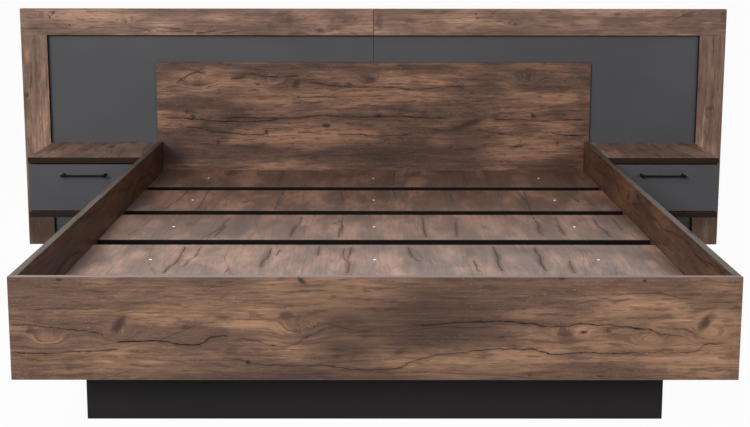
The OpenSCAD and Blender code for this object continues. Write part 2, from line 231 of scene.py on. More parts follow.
def scattered(tree, place, spread=0.8):
    """Distance to the nearest of many scattered middles, and that middle's random number."""
    node = add_node(tree, "ShaderNodeTexVoronoi",
                    {"Vector": place, "Scale": 1.0, "Randomness": spread},
                    voronoi_dimensions="2D")
    chance = add_node(tree, "ShaderNodeSeparateColor", {0: node.outputs["Color"]}).outputs[0]
    return node.outputs["Distance"], chance


def thickness(tree, along, across, thin, thick, layer):
    """A crack's half width, which swells and shrinks along it."""
    swell = noise(tree, flat_place(tree, along, across, 16.0, 2.0, layer), 2.0)
    return fade(tree, swell, 0.35, 0.65, thin, thick)


def line_and_halo(tree, offset, half_width, where, halo_reach, halo_strength):
    """A crack and the dark wood beside it; offset is the distance from its middle line."""
    away = calculate(tree, "ABSOLUTE", offset)
    line = fade(tree, away, both(tree, half_width, 0.3), half_width, 1.0, 0.0)
    halo = fade(tree, away, 0.0, halo_reach, halo_strength, 0.0)
    return both(tree, line, where), both(tree, halo, where)


def lane_cracks(tree, along, across, spacing):
    """Scattered cracks; lanes, drift and life each read a noise layer of their own."""
    slow = noise(tree, flat_place(tree, along, across, 1.7, 1.3, 20.0), 1.0)
    quick = noise(tree, flat_place(tree, along, across, 11.0, 6.0, 23.0), 2.0, 0.6)
    wander = calculate(tree, "MULTIPLY_ADD", slow, 0.16, across)
    wander = calculate(tree, "MULTIPLY_ADD", quick, 0.016, wander)
    lane = calculate(tree, "DIVIDE", wander, spacing)
    number = calculate(tree, "FLOOR", lane)
    drift = noise(tree, flat_place(tree, along, number, 2.3, 7.7, 26.0), 1.0)
    drift = fade(tree, drift, 0.3, 0.7, 0.2, 0.8)
    offset = calculate(tree, "SUBTRACT", calculate(tree, "FRACT", lane), drift)
    offset = both(tree, offset, spacing)
    life = noise(tree, flat_place(tree, along, number, 1.9, 3.7, 29.0), 1.0)
    alive = fade(tree, life, 0.47, 0.53)
    width = thickness(tree, along, number, LANE_CRACK * 0.3, LANE_CRACK, 32.0)
    return line_and_halo(tree, offset, width, alive, 8 * LANE_CRACK, 0.3)


# %% [markdown]
# ## Features drawn one by one
#
# Noise gives a believable board, but not this one: a printed board has marks that
# one knows again. So the longest cracks and the biggest knots of the footboard, the
# headboard, the strips that frame the panel and the base boards are drawn one by one,
# in millimetres on the board's face. A crack is a list of points and how wide it is:
# a Float Curve node turns the place along the board into the height of the crack
# there. A knot, a shadow or a light patch is an ellipse: middle, half sizes, tilt and
# strength. Round the ellipses called bends, the grain swings aside.

# %% How a crack and an ellipse are drawn
MM = 0.001
CURVE_MARGIN = 2 * MM
THINNEST = 0.01 * MM


def drawn_crack(tree, along, across, points, half_width):
    start, end = points[0][0] * MM, points[-1][0] * MM
    low = min(point[1] for point in points) * MM - CURVE_MARGIN
    high = max(point[1] for point in points) * MM + CURVE_MARGIN
    share = add_node(tree, "ShaderNodeMapRange",
                     {"Value": along, "From Min": start, "From Max": end}).outputs["Result"]
    curve = add_node(tree, "ShaderNodeFloatCurve", {"Value": share})
    spots = [((x * MM - start) / (end - start), (y * MM - low) / (high - low))
             for x, y in points]
    line = curve.mapping.curves[0]
    line.points[0].location, line.points[1].location = spots[0], spots[-1]
    for spot in spots[1:-1]:
        line.points.new(*spot)
    curve.mapping.update()
    height = calculate(tree, "MULTIPLY_ADD", curve.outputs[0], high - low, low)
    offset = calculate(tree, "SUBTRACT", across, height)
    ends = both(tree, fade(tree, share, 0.0, 0.05), fade(tree, share, 0.95, 1.0, 1.0, 0.0))
    width = thickness(tree, along, across, half_width * 0.45, half_width, 2.0)
    width = calculate(tree, "ADD", both(tree, width, ends), THINNEST)
    return line_and_halo(tree, offset, width, ends, 6 * half_width, 0.35)


def ellipse(tree, face, middle, half_sizes, tilt, strength, core=0.2):
    """A soft elliptical mark on a board's face; sizes in millimetres, tilt in degrees."""
    node = add_node(tree, "ShaderNodeMapping",
                    {"Vector": face, "Location": (middle[0] * MM, middle[1] * MM, 0.0),
                     "Rotation": (0.0, 0.0, math.radians(tilt)),
                     "Scale": (half_sizes[0] * MM, half_sizes[1] * MM, 1.0)},
                    vector_type="TEXTURE")
    away = add_node(tree, "ShaderNodeVectorMath", {0: node.outputs[0]}, operation="LENGTH")
    return fade(tree, away.outputs["Value"], core, 1.0, strength, 0.0)


# %% [markdown]
# The lists below are read off the board like a map. On the footboard, headboard and
# top rails, a point is how far right of the bed's middle and how high above the floor
# it is. On the stiles and base boards, where the grain runs up or from foot to head,
# the place along the grain comes first and the place to the right second. A few dark
# ellipses are painted shade and painted shadow, and one light ellipse is painted
# light; a comment above each says which.

# %% Marks on the footboard
FOOTBOARD_MARKS = {
    "cracks": [
        ([(-716, 272), (-671, 271), (-628, 265), (-576, 261), (-529, 251)], 1.3),
        ([(-515, 234), (-487, 238), (-449, 239), (-411, 238), (-383, 234), (-350, 232),
          (-331, 241), (-307, 249), (-283, 246)], 2.2),
        ([(-269, 245), (-231, 239), (-203, 229), (-175, 229), (-142, 242), (-123, 256)], 1.3),
        ([(-716, 218), (-676, 214), (-638, 214), (-591, 218), (-553, 219), (-524, 221),
          (-501, 224), (-494, 234)], 1.3),
        ([(-326, 224), (-307, 209), (-269, 200), (-231, 193), (-175, 190), (-109, 190),
          (-61, 183), (-23, 181), (36, 183), (65, 195), (84, 201), (131, 212), (178, 217),
          (244, 223), (301, 223), (329, 217), (358, 213), (405, 216), (462, 214), (532, 216),
          (603, 216), (636, 221), (644, 232), (660, 234), (716, 236)], 1.5),
        ([(55, 277), (102, 272), (150, 276), (202, 278), (254, 279), (291, 276), (334, 270),
          (367, 268), (400, 274), (443, 272), (485, 269), (523, 264), (556, 255), (594, 250),
          (622, 250)], 1.8),
        ([(-671, 300), (-614, 305), (-576, 303), (-534, 307)], 0.8)],
    "bends": [
        ((-153, 258), (70, 34), 0), ((-505, 250), (60, 30), 0), ((377, 250), (60, 22), 0),
        ((655, 250), (60, 28), 0), ((-640, 242), (50, 24), 0), ((540, 240), (60, 20), 0)],
    "dark": [
        ((90, 280), (260, 110), 0, 0.62), ((-50, 250), (120, 130), 0, 0.62),
        ((0, 168), (760, 40), 0, 0.5), ((-175, 291), (24, 15), 0, 0.75),
        ((-501, 272), (14, 36), -38, 0.85), ((646, 277), (15, 34), -38, 0.85),
        ((-75, 209), (26, 9), 4, 0.8), ((-250, 196), (10, 8), 0, 1.0),
        ((-144, 362), (22, 8), -30, 0.9), ((-617, 362), (10, 5), 0, 0.9),
        ((362, 366), (14, 5), 0, 0.9), ((524, 361), (7, 4), 0, 0.9),
        ((377, 243), (34, 20), 0, 0.55), ((405, 257), (9, 4), -10, 1.0),
        ((457, 260), (12, 7), 0, 0.7), ((51, 219), (34, 12), 25, 0.7),
        ((-20, 240), (40, 26), 20, 0.35), ((121, 246), (20, 9), 0, 0.7),
        ((247, 247), (7, 5), 0, 0.8), ((301, 169), (7, 4), 0, 0.9),
        ((443, 168), (18, 5), 0, 0.7), ((216, 251), (110, 26), 0, 0.5),
        ((-110, 318), (150, 62), 0, 0.4), ((190, 330), (150, 34), 0, 0.3),
        ((-676, 262), (9, 12), 0, 0.6), ((-373, 267), (12, 6), 0, 0.6),
        ((-480, 196), (60, 8), -6, 0.35), ((-290, 300), (60, 22), 10, 0.3),
        ((-153, 258), (22, 10), 0, 0.5), ((-560, 340), (130, 12), 0, 0.25),
        ((-600, 190), (30, 14), 90, 0.25)],
    "light": [
        ((650, 270), (130, 100), 0, 0.9), ((-640, 242), (60, 20), 0, 0.6),
        ((-430, 286), (90, 26), 0, 0.55), ((532, 238), (80, 18), 0, 0.6),
        ((300, 296), (70, 20), 0, 0.5), ((640, 320), (60, 24), 0, 0.35),
        ((-310, 180), (110, 14), 0, 0.3)],
}

# %% Marks on the headboard
HEADBOARD_MARKS = {
    "cracks": [
        ([(-650, 562), (-635, 571), (-613, 587), (-574, 598), (-550, 591)], 1.8),
        ([(-476, 578), (-443, 578), (-410, 591), (-366, 586), (-322, 582), (-284, 584),
          (-242, 586)], 2.8),
        ([(-223, 565), (-190, 562), (-152, 556), (-108, 552), (-81, 549), (-37, 549), (18, 550),
          (56, 549), (130, 542), (193, 546), (257, 550), (316, 547)], 2.2),
        ([(-706, 447), (-640, 445), (-574, 441), (-530, 435), (-476, 435), (-410, 434),
          (-344, 439), (-300, 444)], 2.0),
        ([(-508, 446), (-432, 447), (-300, 446), (-229, 450), (-157, 454), (-92, 450),
          (-9, 450), (88, 453), (143, 449), (206, 446), (265, 454)], 2.2),
        ([(-624, 416), (-558, 410), (-519, 398), (-454, 395), (-388, 390), (-355, 391)], 1.8),
        ([(-251, 400), (-212, 399), (-168, 395)], 2.0),
        ([(-125, 390), (-53, 391), (-9, 387), (29, 387), (121, 391)], 2.0),
        ([(-256, 514), (-190, 516), (-114, 518)], 1.2),
        ([(392, 441), (468, 443), (552, 437), (636, 441), (706, 442)], 1.8),
        ([(590, 403), (636, 390), (706, 390)], 2.0),
        ([(341, 409), (392, 399), (468, 390)], 1.4)],
    "bends": [
        ((-580, 565), (80, 40), 0), ((500, 565), (80, 40), 0), ((-9, 573), (60, 24), 0),
        ((-330, 565), (60, 26), 0)],
    "dark": [
        ((-615, 469), (10, 12), 20, 0.9), ((-599, 450), (12, 14), 20, 0.9),
        ((-256, 560), (18, 26), -35, 0.85), ((-155, 421), (20, 11), 0, 1.0),
        ((-355, 398), (11, 14), 0, 1.0), ((-515, 366), (10, 9), 0, 1.0),
        ((15, 452), (20, 10), 0, 1.0), ((-580, 560), (30, 22), 0, 0.55),
        ((-9, 573), (30, 16), 0, 0.65), ((-380, 558), (9, 6), 0, 0.8),
        ((-640, 424), (9, 6), 0, 0.8), ((-503, 628), (16, 6), 0, 0.8),
        # Painted shadow: the first ellipse on the next line is the left side rail's shadow on
        # the headboard's lower left corner.
        ((-680, 322), (120, 62), 0, 0.9), ((-81, 560), (14, 7), 0, 0.8),
        ((312, 426), (95, 17), 20, 0.9), ((527, 454), (17, 15), -30, 0.9),
        ((480, 353), (42, 9), 12, 0.8), ((360, 600), (90, 20), 0, 0.4),
        ((-450, 480), (140, 26), 0, 0.35), ((120, 480), (110, 20), 0, 0.3),
        # Painted shade: the second ellipse on the next line is a band of shade along the bottom,
        # just above the base boards.
        ((610, 362), (8, 8), 0, 0.8), ((0, 330), (700, 50), 0, 0.35),
        ((260, 350), (16, 10), 0, 0.6), ((130, 612), (160, 16), 0, 0.35),
        ((-200, 620), (70, 10), 0, 0.4), ((420, 500), (240, 30), 0, 0.25)],
    "light": [
        ((-400, 560), (120, 22), 0, 0.6), ((672, 545), (50, 50), 0, 0.7),
        ((-140, 590), (120, 24), 0, 0.4), ((-470, 530), (200, 20), 0, 0.35),
        ((540, 620), (160, 20), 0, 0.5), ((220, 370), (60, 30), 0, 0.35),
        ((-300, 420), (140, 14), 0, 0.3), ((440, 560), (50, 24), 0, 0.3)],
}

# %% Marks on the strips that frame the panel
LEFT_TOP_MARKS = {
    "cracks": [
        ([(-805, 745), (-775, 742), (-746, 736), (-727, 726)], 1.6),
        ([(-716, 739), (-684, 732), (-635, 732), (-589, 733)], 1.6),
        ([(-582, 726), (-550, 729), (-517, 733)], 1.8),
        ([(-500, 726), (-464, 729), (-428, 733), (-412, 726)], 1.2)],
    "bends": [
        ((-811, 762), (46, 17), 0), ((-1072, 781), (40, 17), 0), ((-176, 736), (53, 20), 0)],
    "dark": [
        ((-1082, 784), (13, 13), 0, 0.5), ((-1062, 778), (8, 10), 0, 0.8),
        ((-1049, 791), (8, 10), 0, 0.8), ((-994, 752), (10, 5), 0, 0.8),
        ((-811, 762), (7, 6), 0, 0.95), ((-814, 765), (20, 13), 0, 0.35),
        ((-651, 739), (30, 7), 0, 0.6), ((-1109, 742), (26, 7), 0, 0.4),
        ((-536, 742), (13, 5), 0, 0.5), ((-274, 769), (20, 40), 0, 0.4),
        ((-290, 788), (46, 8), 0, 0.4), ((-176, 736), (26, 13), 0, 0.75),
        ((-258, 726), (33, 10), 0, 0.5), ((-339, 749), (20, 17), 0, 0.3),
        ((-133, 769), (13, 13), 0, 0.35), ((-414, 788), (17, 7), 0, 0.4)],
    "light": [
        ((-961, 778), (46, 20), 0, 0.8), ((-896, 768), (66, 20), 0, 0.7),
        ((-765, 768), (40, 13), 0, 0.5), ((-857, 735), (26, 5), 0, 0.6),
        ((-519, 775), (83, 17), 0, 0.7), ((-94, 743), (33, 17), 0, 0.5)],
}
RIGHT_TOP_MARKS = {
    "cracks": [
        ([(975, 767), (1004, 780), (1036, 793), (1059, 796)], 1.5)],
    "bends": [
        ((1030, 783), (53, 20), 0), ((464, 756), (46, 17), 0)],
    "dark": [
        ((18, 762), (20, 40), 0, 0.5), ((168, 795), (53, 8), 0, 0.4),
        ((119, 766), (33, 10), 0, 0.5), ((335, 789), (10, 4), 0, 0.9),
        ((342, 776), (7, 3), 0, 0.7), ((394, 792), (7, 3), 0, 0.8),
        ((464, 756), (13, 7), 0, 0.7), ((218, 756), (40, 17), 0, 0.25),
        ((797, 789), (17, 8), 0, 0.6), ((815, 750), (20, 10), 0, 0.3),
        ((1030, 783), (30, 13), 0, 0.5), ((1141, 790), (6, 7), 0, 1.0),
        ((1149, 777), (20, 33), 0, 0.3), ((715, 789), (46, 7), 0, 0.3)],
    "light": [
        ((710, 763), (59, 23), 0, 0.7), ((906, 763), (73, 23), 0, 0.6),
        ((316, 756), (79, 20), 0, 0.4), ((611, 750), (66, 17), 0, 0.4),
        ((80, 743), (40, 10), 0, 0.4), ((1087, 751), (40, 17), 0, 0.6)],
}
STILE_MARKS = {
    "cracks": [
        ([(545, -1131), (588, -1127), (631, -1127)], 1),
        ([(532, -1111), (588, -1112), (637, -1107)], 1)],
    "bends": [
        ((522, -1145), (30, 17), 0), ((467, 1103), (30, 17), 0)],
    "dark": [
        ((522, -1145), (17, 12), 0, 0.8), ((571, -1130), (59, 5), 0, 0.35),
        # Painted shade: the second ellipse on the next line darkens the foot of the left stile,
        # under the left nightstand.
        ((588, -1106), (73, 4), 0, 0.35), ((84, -1120), (130, 100), 0, 0.85),
        ((689, 1087), (40, 13), 0, 0.4), ((481, 1115), (17, 20), 0, 0.45),
        ((639, 1072), (66, 7), 0, 0.3), ((524, 1124), (26, 10), 0, 0.3)],
    "light": [
        ((654, -1139), (40, 13), 0, 0.7), ((588, -1086), (79, 10), 0, 0.5),
        ((412, -1143), (46, 13), 0, 0.8), ((372, -1125), (26, 26), 0, 0.4),
        ((447, 1097), (40, 8), 0, 0.8), ((600, 1117), (59, 8), 0, 0.5),
        # Painted light: the last ellipse on the next line lightens the foot of the right stile,
        # under the right nightstand.
        ((401, 1079), (33, 13), 0, 0.4), ((65, 1117), (46, 30), 0, 0.9)],
}

# %% Marks on the base boards
BASE_MARKS = {
    "base_board_2": {
        "cracks": [
            ([(-578, -479), (-504, -475), (-450, -466), (-383, -466), (-324, -466),
              (-264, -467)], 3.2),
            ([(-515, -453), (-472, -440), (-428, -439), (-383, -428), (-312, -429),
              (-264, -424)], 2.8),
            ([(-514, -257), (-450, -265), (-393, -254), (-336, -254), (-276, -253)], 3),
            ([(-382, -234), (-312, -233)], 2.4),
            ([(-382, -135), (-323, -135), (-263, -135)], 2.6),
            ([(-577, -67), (-514, -59), (-460, -60), (-382, -76), (-287, -72)], 3.4),
            ([(-416, -61), (-347, -59), (-275, -55)], 3),
            ([(-449, 107), (-393, 92), (-335, 86), (-262, 83)], 2.6),
            ([(-555, 292), (-459, 289), (-403, 294), (-322, 294), (-262, 294)], 3.4),
            ([(-555, 395), (-459, 390), (-392, 396), (-334, 393), (-274, 397)], 3.2),
            ([(-575, 454), (-491, 456), (-437, 459)], 3),
            ([(-555, 240), (-492, 235), (-426, 235)], 2.4),
            ([(-567, -342), (-515, -333)], 2)],
        "bends": [
            ((-383, -466), (90, 40), 0), ((-430, 330), (80, 40), 0)],
        "dark": [
            ((-312, -456), (72, 30), 0, 0.35), ((-405, -261), (158, 15), 0, 0.45),
            ((-417, -461), (90, 14), 0, 0.4), ((-449, -173), (56, 19), 0, 0.3),
            ((-335, -137), (70, 12), 0, 0.4), ((-449, -65), (132, 12), 0, 0.4),
            ((-311, -55), (72, 15), 0, 0.4), ((-346, 88), (94, 17), 0, 0.35),
            ((-334, 232), (94, 20), 0, 0.35), ((-392, 293), (114, 14), 0, 0.4),
            ((-310, 361), (60, 39), 0, 0.4), ((-459, 390), (99, 14), 0, 0.4),
            ((-513, 453), (64, 16), 0, 0.4), ((-321, 536), (48, 63), 0, 0.3),
            ((-380, 637), (92, 39), 0, 0.35), ((-451, -645), (88, 33), 0, 0.45)],
        "light": [
            ((-360, -570), (81, 34), 0, 0.9), ((-450, -363), (77, 33), 0, 0.8),
            ((-336, -307), (59, 27), 0, 0.6), ((-536, -588), (42, 28), 0, 0.7),
            ((-312, -182), (60, 20), 0, 0.5), ((-503, -92), (54, 26), 0, 0.7),
            ((-415, 27), (112, 29), 0, 0.7), ((-534, 196), (52, 29), 0, 0.7),
            ((-415, 324), (79, 24), 0, 0.6), ((-425, 577), (90, 35), 0, 0.6),
            ((-469, 649), (66, 21), 0, 0.8)],
    },
    "base_board_3": {
        "cracks": [
            ([(-163, -431), (-97, -420), (-15, -403), (56, -402), (130, -390)], 3.6),
            ([(-163, -408), (-111, -406), (-57, -401), (13, -390)], 3),
            ([(-163, -215), (-83, -214), (-14, -207), (72, -198), (146, -199)], 3.4),
            ([(-162, -90), (-96, -91), (-28, -85), (57, -87), (132, -82)], 3.8),
            ([(-161, 132), (-41, 131), (44, 132), (132, 129)], 4),
            ([(-161, 211), (-54, 215), (30, 219), (118, 227)], 3),
            ([(-134, 438), (-67, 431), (16, 438), (89, 438), (149, 439)], 3.8),
            ([(-134, 492), (-26, 491), (45, 495), (134, 498)], 3.2),
            ([(-160, 596), (-80, 604), (3, 596), (60, 597), (119, 598)], 3.4),
            ([(-53, 650), (31, 651), (119, 652)], 3)],
        "bends": [
            ((20, -120), (70, 40), 0), ((-60, 420), (80, 40), 0)],
        "dark": [
            ((-85, -635), (94, 52), 0, 0.5), ((27, -493), (57, 19), 0, 0.6),
            ((-15, -355), (112, 48), 0, 0.4), ((-57, -399), (110, 19), 0, 0.4),
            ((57, -267), (58, 32), 0, 0.45), ((-56, -213), (110, 13), 0, 0.5),
            ((0, -131), (127, 16), 0, 0.4), ((-55, -87), (110, 13), 0, 0.5),
            ((-27, 174), (139, 32), 0, 0.4), ((-41, 131), (138, 11), 0, 0.4),
            ((-41, 218), (138, 11), 0, 0.4), ((-12, 440), (112, 21), 0, 0.45),
            ((-54, 490), (96, 16), 0, 0.4), ((-67, 596), (82, 23), 0, 0.4),
            ((-25, 689), (112, 22), 0, 0.3)],
        "light": [
            ((27, -586), (86, 29), 0, 0.8), ((71, -457), (44, 24), 0, 0.5),
            ((57, -184), (72, 25), 0, 0.7), ((1, 21), (99, 32), 0, 0.7),
            ((59, 291), (73, 22), 0, 0.6), ((-54, 369), (96, 37), 0, 0.5),
            ((31, 565), (72, 19), 0, 0.6), ((-69, -115), (34, 10), 0, 0.6)],
    },
    "base_board_4": {
        "cracks": [
            ([(238, -592), (319, -586), (403, -574), (491, -568), (583, -567)], 4),
            ([(238, -496), (319, -500), (387, -499), (492, -502), (583, -500)], 4),
            ([(239, -282), (320, -279), (422, -279), (492, -275), (565, -273)], 5),
            ([(388, -87), (475, -95), (566, -103)], 4),
            ([(406, 68), (512, 64), (585, 62)], 4),
            ([(373, 231), (495, 229), (586, 228)], 4),
            ([(407, 380), (477, 377), (568, 376)], 3.4),
            ([(242, 441), (373, 447), (478, 440), (568, 434)], 5),
            ([(442, 454), (569, 458)], 4.4),
            ([(357, 599), (461, 590), (551, 581)], 3.4)],
        "bends": [
            ((400, 120), (80, 50), 0), ((380, -300), (70, 40), 0)],
        "dark": [
            # Painted shadow: the first ellipse on the next line is the left side rail's shadow
            # over the board's left end.
            ((403, -700), (190, 70), 0, 0.75), ((336, -499), (100, 17), 0, 0.35),
            ((370, -375), (26, 17), 0, 0.8), ((320, -428), (66, 11), 0, 0.6),
            ((388, -271), (154, 14), 0, 0.5), ((405, -93), (155, 14), 0, 0.5),
            ((305, -11), (66, 52), 0, 0.45), ((476, 37), (124, 23), 0, 0.5),
            ((407, 224), (156, 20), 0, 0.4), ((339, 307), (84, 26), 0, 0.4),
            ((495, 379), (72, 48), 0, 0.4), ((408, 444), (138, 18), 0, 0.6),
            ((409, 665), (138, 35), 0, 0.5)],
        "light": [
            ((474, -339), (53, 36), 0, 0.6), ((371, -212), (84, 20), 0, 0.5),
            ((304, -126), (41, 20), 0, 0.5), ((441, 137), (70, 38), 0, 0.5),
            ((425, 526), (70, 27), 0, 0.8), ((473, -548), (62, 27), 0, 0.5)],
    },
    "base_board_5": {
        "cracks": [
            ([(660, -300), (862, -300), (992, -302)], 5),
            ([(661, 60), (863, 67), (993, 69)], 6),
            ([(661, 54), (760, 43), (863, 31)], 4),
            ([(663, 294), (865, 291), (995, 293)], 5),
            ([(663, 359), (823, 366), (995, 373)], 4.4),
            ([(743, 597), (887, 596), (996, 597)], 4.4)],
        "bends": [
            ((780, -420), (80, 50), 0), ((760, 60), (80, 40), 0)],
        "dark": [
            # Painted shadow: the first ellipse on the next line is the left side rail's shadow
            # over the board's left end.
            ((800, -713), (200, 80), 0, 0.85), ((947, -468), (152, 30), 0, 0.8),
            ((860, -596), (126, 30), 0, 0.4), ((863, -109), (84, 46), 0, 0.45),
            ((820, -295), (166, 16), 0, 0.4), ((822, 56), (187, 23), 0, 0.6),
            ((950, 253), (66, 30), 0, 0.5), ((782, 292), (164, 16), 0, 0.5),
            ((823, 369), (186, 23), 0, 0.5), ((866, 607), (148, 29), 0, 0.4)],
        "light": [
            ((778, -394), (82, 35), 0, 0.5), ((781, 148), (102, 36), 0, 0.5),
            ((824, 472), (104, 39), 0, 0.5)],
    },
}
print("cracks drawn by hand:", [len(marks["cracks"]) for marks in (
    FOOTBOARD_MARKS, HEADBOARD_MARKS, LEFT_TOP_MARKS, RIGHT_TOP_MARKS, STILE_MARKS,
    *BASE_MARKS.values())])

# %% [markdown]
# ## Tones and edges
#
# Three tones make the ground of a plank: a brown, a warmer one for the light clouds
# and a dark one for the deep clouds. Each group of boards has its own three, as the
# photograph shows them; the side rails' tones are darker as painted shade, and the
# base boards' lighter, partly as painted sheen. A cut edge shows another colour than
# the face, except on the tops of the footboard and side rails, where the paler edge
# colour is painted sheen. The faces of an edge are told apart by the direction that
# they look in, so one material can hold both colours. The two halves of the wall
# panel touch and leave no gap to see, so the line where they meet is drawn in.

# %% Tones and edges
DARK_BROWN = paint(68, 50, 42)
PLANK_TONES = (paint(102, 76, 62), paint(150, 114, 89), DARK_BROWN)
FRAME_TONES = (paint(120, 92, 78), paint(168, 132, 110), paint(86, 65, 55))
# Painted shade: the side rails' tones are darker than the planks', for the shade on their inner
# faces, and the left rail's are darkest, as its inner face looks away from the key lamp.
LEFT_RAIL_SHADED_TONES = (paint(63, 43, 32), paint(93, 65, 47), paint(38, 24, 18))
RIGHT_RAIL_SHADED_TONES = (paint(82, 57, 43), paint(116, 83, 60), paint(50, 34, 26))
HEAD_TONES = (paint(87, 62, 51), paint(148, 109, 86), paint(47, 32, 26))
# Partly painted sheen: the base boards' own print, made lighter and pinker than the planks' for
# the sheen of light that glances off them.
BASE_TONES_AND_PAINTED_SHEEN = (paint(115, 84, 70), paint(181, 136, 113), paint(66, 45, 37))
CRACK_BROWN = paint(22, 10, 6)
# The knot browns also colour the painted shade and painted shadow among the dark marks.
KNOT_AND_SHADE_BROWN = paint(44, 30, 24)
KNOT_AND_SHADE_RED_BROWN = paint(56, 32, 23)
PALE_FLECK = paint(176, 142, 116)
EDGE_BROWN = paint(36, 24, 19)
EDGE_BLACK = paint(16, 8, 6)
# Painted sheen: the pale top edge of the footboard.
EDGE_PAINTED_SHEEN = paint(124, 105, 95)
# Painted sheen: the paler grey top edges of the side rails.
RAIL_EDGE_PAINTED_SHEEN = paint(77, 63, 54)


def facing(tree, axis, both_sides=True):
    """1 where a face looks along the axis, or only where it looks against the axis."""
    normal = add_node(tree, "ShaderNodeTexCoord").outputs["Normal"]
    value = split(tree, normal)[axis]
    if both_sides:
        value = calculate(tree, "ABSOLUTE", value)
    else:
        value = both(tree, value, -1.0)
    return calculate(tree, "GREATER_THAN", value, 0.6)


def joint_line(tree, colour):
    """Dark where the two halves of the wall panel meet, in the middle of the bed."""
    away = calculate(tree, "ABSOLUTE", split(tree, place_on_bed(tree))["X"])
    return mix_colours(tree, fade(tree, away, 0.7 * MM, 1.7 * MM, 1.0, 0.0), colour, EDGE_BLACK)


# %% [markdown]
# ## Clouds, fibres and rings
#
# What the printer lays down first is soft: clouds a hand wide. Over them come the
# fibres in three sizes, from hair-fine ones to broad streaks, and the growth rings.
# They only make the ground lighter or darker, so they are worked out as one number
# that the colour is multiplied by. Last come short dark ticks, which are the open
# pores of the wood, and a few pale flecks.
#
# In each flat_place, the first two numbers say how often the pattern changes in a
# metre along and across the grain, and a third one picks another pattern. In each
# fade, the first two numbers are the values of noise between which the change lies.

# %% Clouds, fibres and rings
def clouded(tree, along, level, tones, drawn_light):
    """The ground: warm clouds, light patches from the marks, and dark clouds over both."""
    brown, warm_brown, dark_brown = tones
    clouds = noise(tree, flat_place(tree, along, level, 2.6, 9.0), 4.0, 0.6)
    colour = mix_colours(tree, fade(tree, clouds, 0.43, 0.66), brown, warm_brown)
    if drawn_light:
        colour = mix_colours(tree, strongest(tree, drawn_light), colour, warm_brown)
    shade = noise(tree, flat_place(tree, along, level, 3.4, 12.0, 3.0), 5.0, 0.65)
    return mix_colours(tree, fade(tree, shade, 0.5, 0.68, 0.0, 0.6), colour, dark_brown)


def growth_rings(tree, along, across, level):
    """Dark where a ring is cut, and stronger in some parts of the plank than in others."""
    rings = calculate(tree, "PINGPONG", both(tree, level, 105.0), 1.0)
    strength = fade(tree, noise(tree, flat_place(tree, along, across, 3.0, 9.0, 7.0)),
                    0.42, 0.66, 0.04, 0.2)
    return both(tree, fade(tree, rings, 0.0, 0.45, 1.0, 0.0), strength)


def fibred(tree, along, level, fibre_depth):
    """Lightness of all fibres together, and the fine and long ones by themselves."""
    fine = noise(tree, flat_place(tree, along, level, 34.0, 520.0, 1.0), 3.0, 0.7)
    long_fibres = noise(tree, flat_place(tree, along, level, 6.0, 170.0, 2.0), 3.0, 0.65)
    streaks = noise(tree, flat_place(tree, along, level, 2.4, 55.0, 4.0), 3.0, 0.6)
    depth = 0.25 * fibre_depth
    value = both(tree, fade(tree, fine, 0.25, 0.75, 1.0 - depth, 1.0 + depth),
                 fade(tree, long_fibres, 0.28, 0.72, 1.0 - depth, 1.0 + 0.85 * depth))
    value = both(tree, value, fade(tree, streaks, 0.3, 0.7,
                                   1.0 - 0.85 * depth, 1.0 + 0.75 * depth))
    return value, fine, long_fibres


def ticked(tree, along, level, colour, dark_brown, tick_depth):
    """Short dark ticks and pale flecks over the colour."""
    ticks = noise(tree, flat_place(tree, along, level, 17.0, 115.0, 9.0), 3.0, 0.65)
    colour = mix_colours(tree, fade(tree, ticks, 0.53, 0.63, 0.0, tick_depth),
                         colour, dark_brown)
    flecks = noise(tree, flat_place(tree, along, level, 110.0, 380.0, 8.0), 2.0, 0.6)
    return mix_colours(tree, fade(tree, flecks, 0.6, 0.74, 0.0, 0.45), colour, PALE_FLECK)


# %% [markdown]
# ## From patterns to a board
#
# Two more pieces are needed before a board can be dressed. Small knots are strewn
# over every board, with a ragged outline and a shadow. And the listed marks need a
# face to be drawn on: it is shaken a little by noise, because an exact ellipse would
# look like a sticker.

# %% Small knots, and the face to draw on
def small_knots(tree, along, level, share):
    """The dark cores of small knots, and the wider shadows round them."""
    ragged = noise(tree, flat_place(tree, along, level, 30.0, 50.0, 6.0), 3.0, 0.65)
    along = calculate(tree, "MULTIPLY_ADD", ragged, 0.06, along)
    level = calculate(tree, "MULTIPLY_ADD", ragged, 0.02, level)
    distance, chance = scattered(tree, flat_place(tree, along, level, 7.0, 13.0), 1.0)
    size = fade(tree, chance, 1.0 - share, 1.0, 0.02, 0.12)
    core = fade(tree, calculate(tree, "SUBTRACT", distance, size), -0.04, 0.03, 0.9, 0.0)
    core = both(tree, core, calculate(tree, "GREATER_THAN", chance, 1.0 - share))
    shadow = fade(tree, distance, 0.05, 0.4, 0.4, 0.0)
    return core, both(tree, shadow, calculate(tree, "GREATER_THAN", chance, 0.9 - share))


def board_face(tree, grain):
    """Places along and across a board as its marks count them, and both as one place."""
    parts = split(tree, place_on_bed(tree))
    true_along, true_across = plank_axes(tree, grain, (0.0, 0.0, 0.0))
    shake = noise(tree, flat_place(tree, true_along, true_across, 40.0, 60.0, 5.0), 3.0, 0.6)
    shake = calculate(tree, "SUBTRACT", shake, 0.5)
    along = calculate(tree, "MULTIPLY_ADD", shake, 0.03, parts[grain])
    across = calculate(tree, "MULTIPLY_ADD", shake, 0.009,
                       parts["Z" if grain == "X" else "X"])
    face = add_node(tree, "ShaderNodeCombineXYZ", {"X": along, "Y": across}).outputs[0]
    return along, across, face


# %% [markdown]
# The laminate puts all of this together, in the order in which a printer would lay
# it down: ground, fibres, ticks, knots, cracks. Boards with marks of their own keep
# the scattered knots and cracks only faintly. At last come the things that light
# shows: open cracks and knots are rougher than the sealed face, long fibres shine a
# little differently, and a crack is a groove.

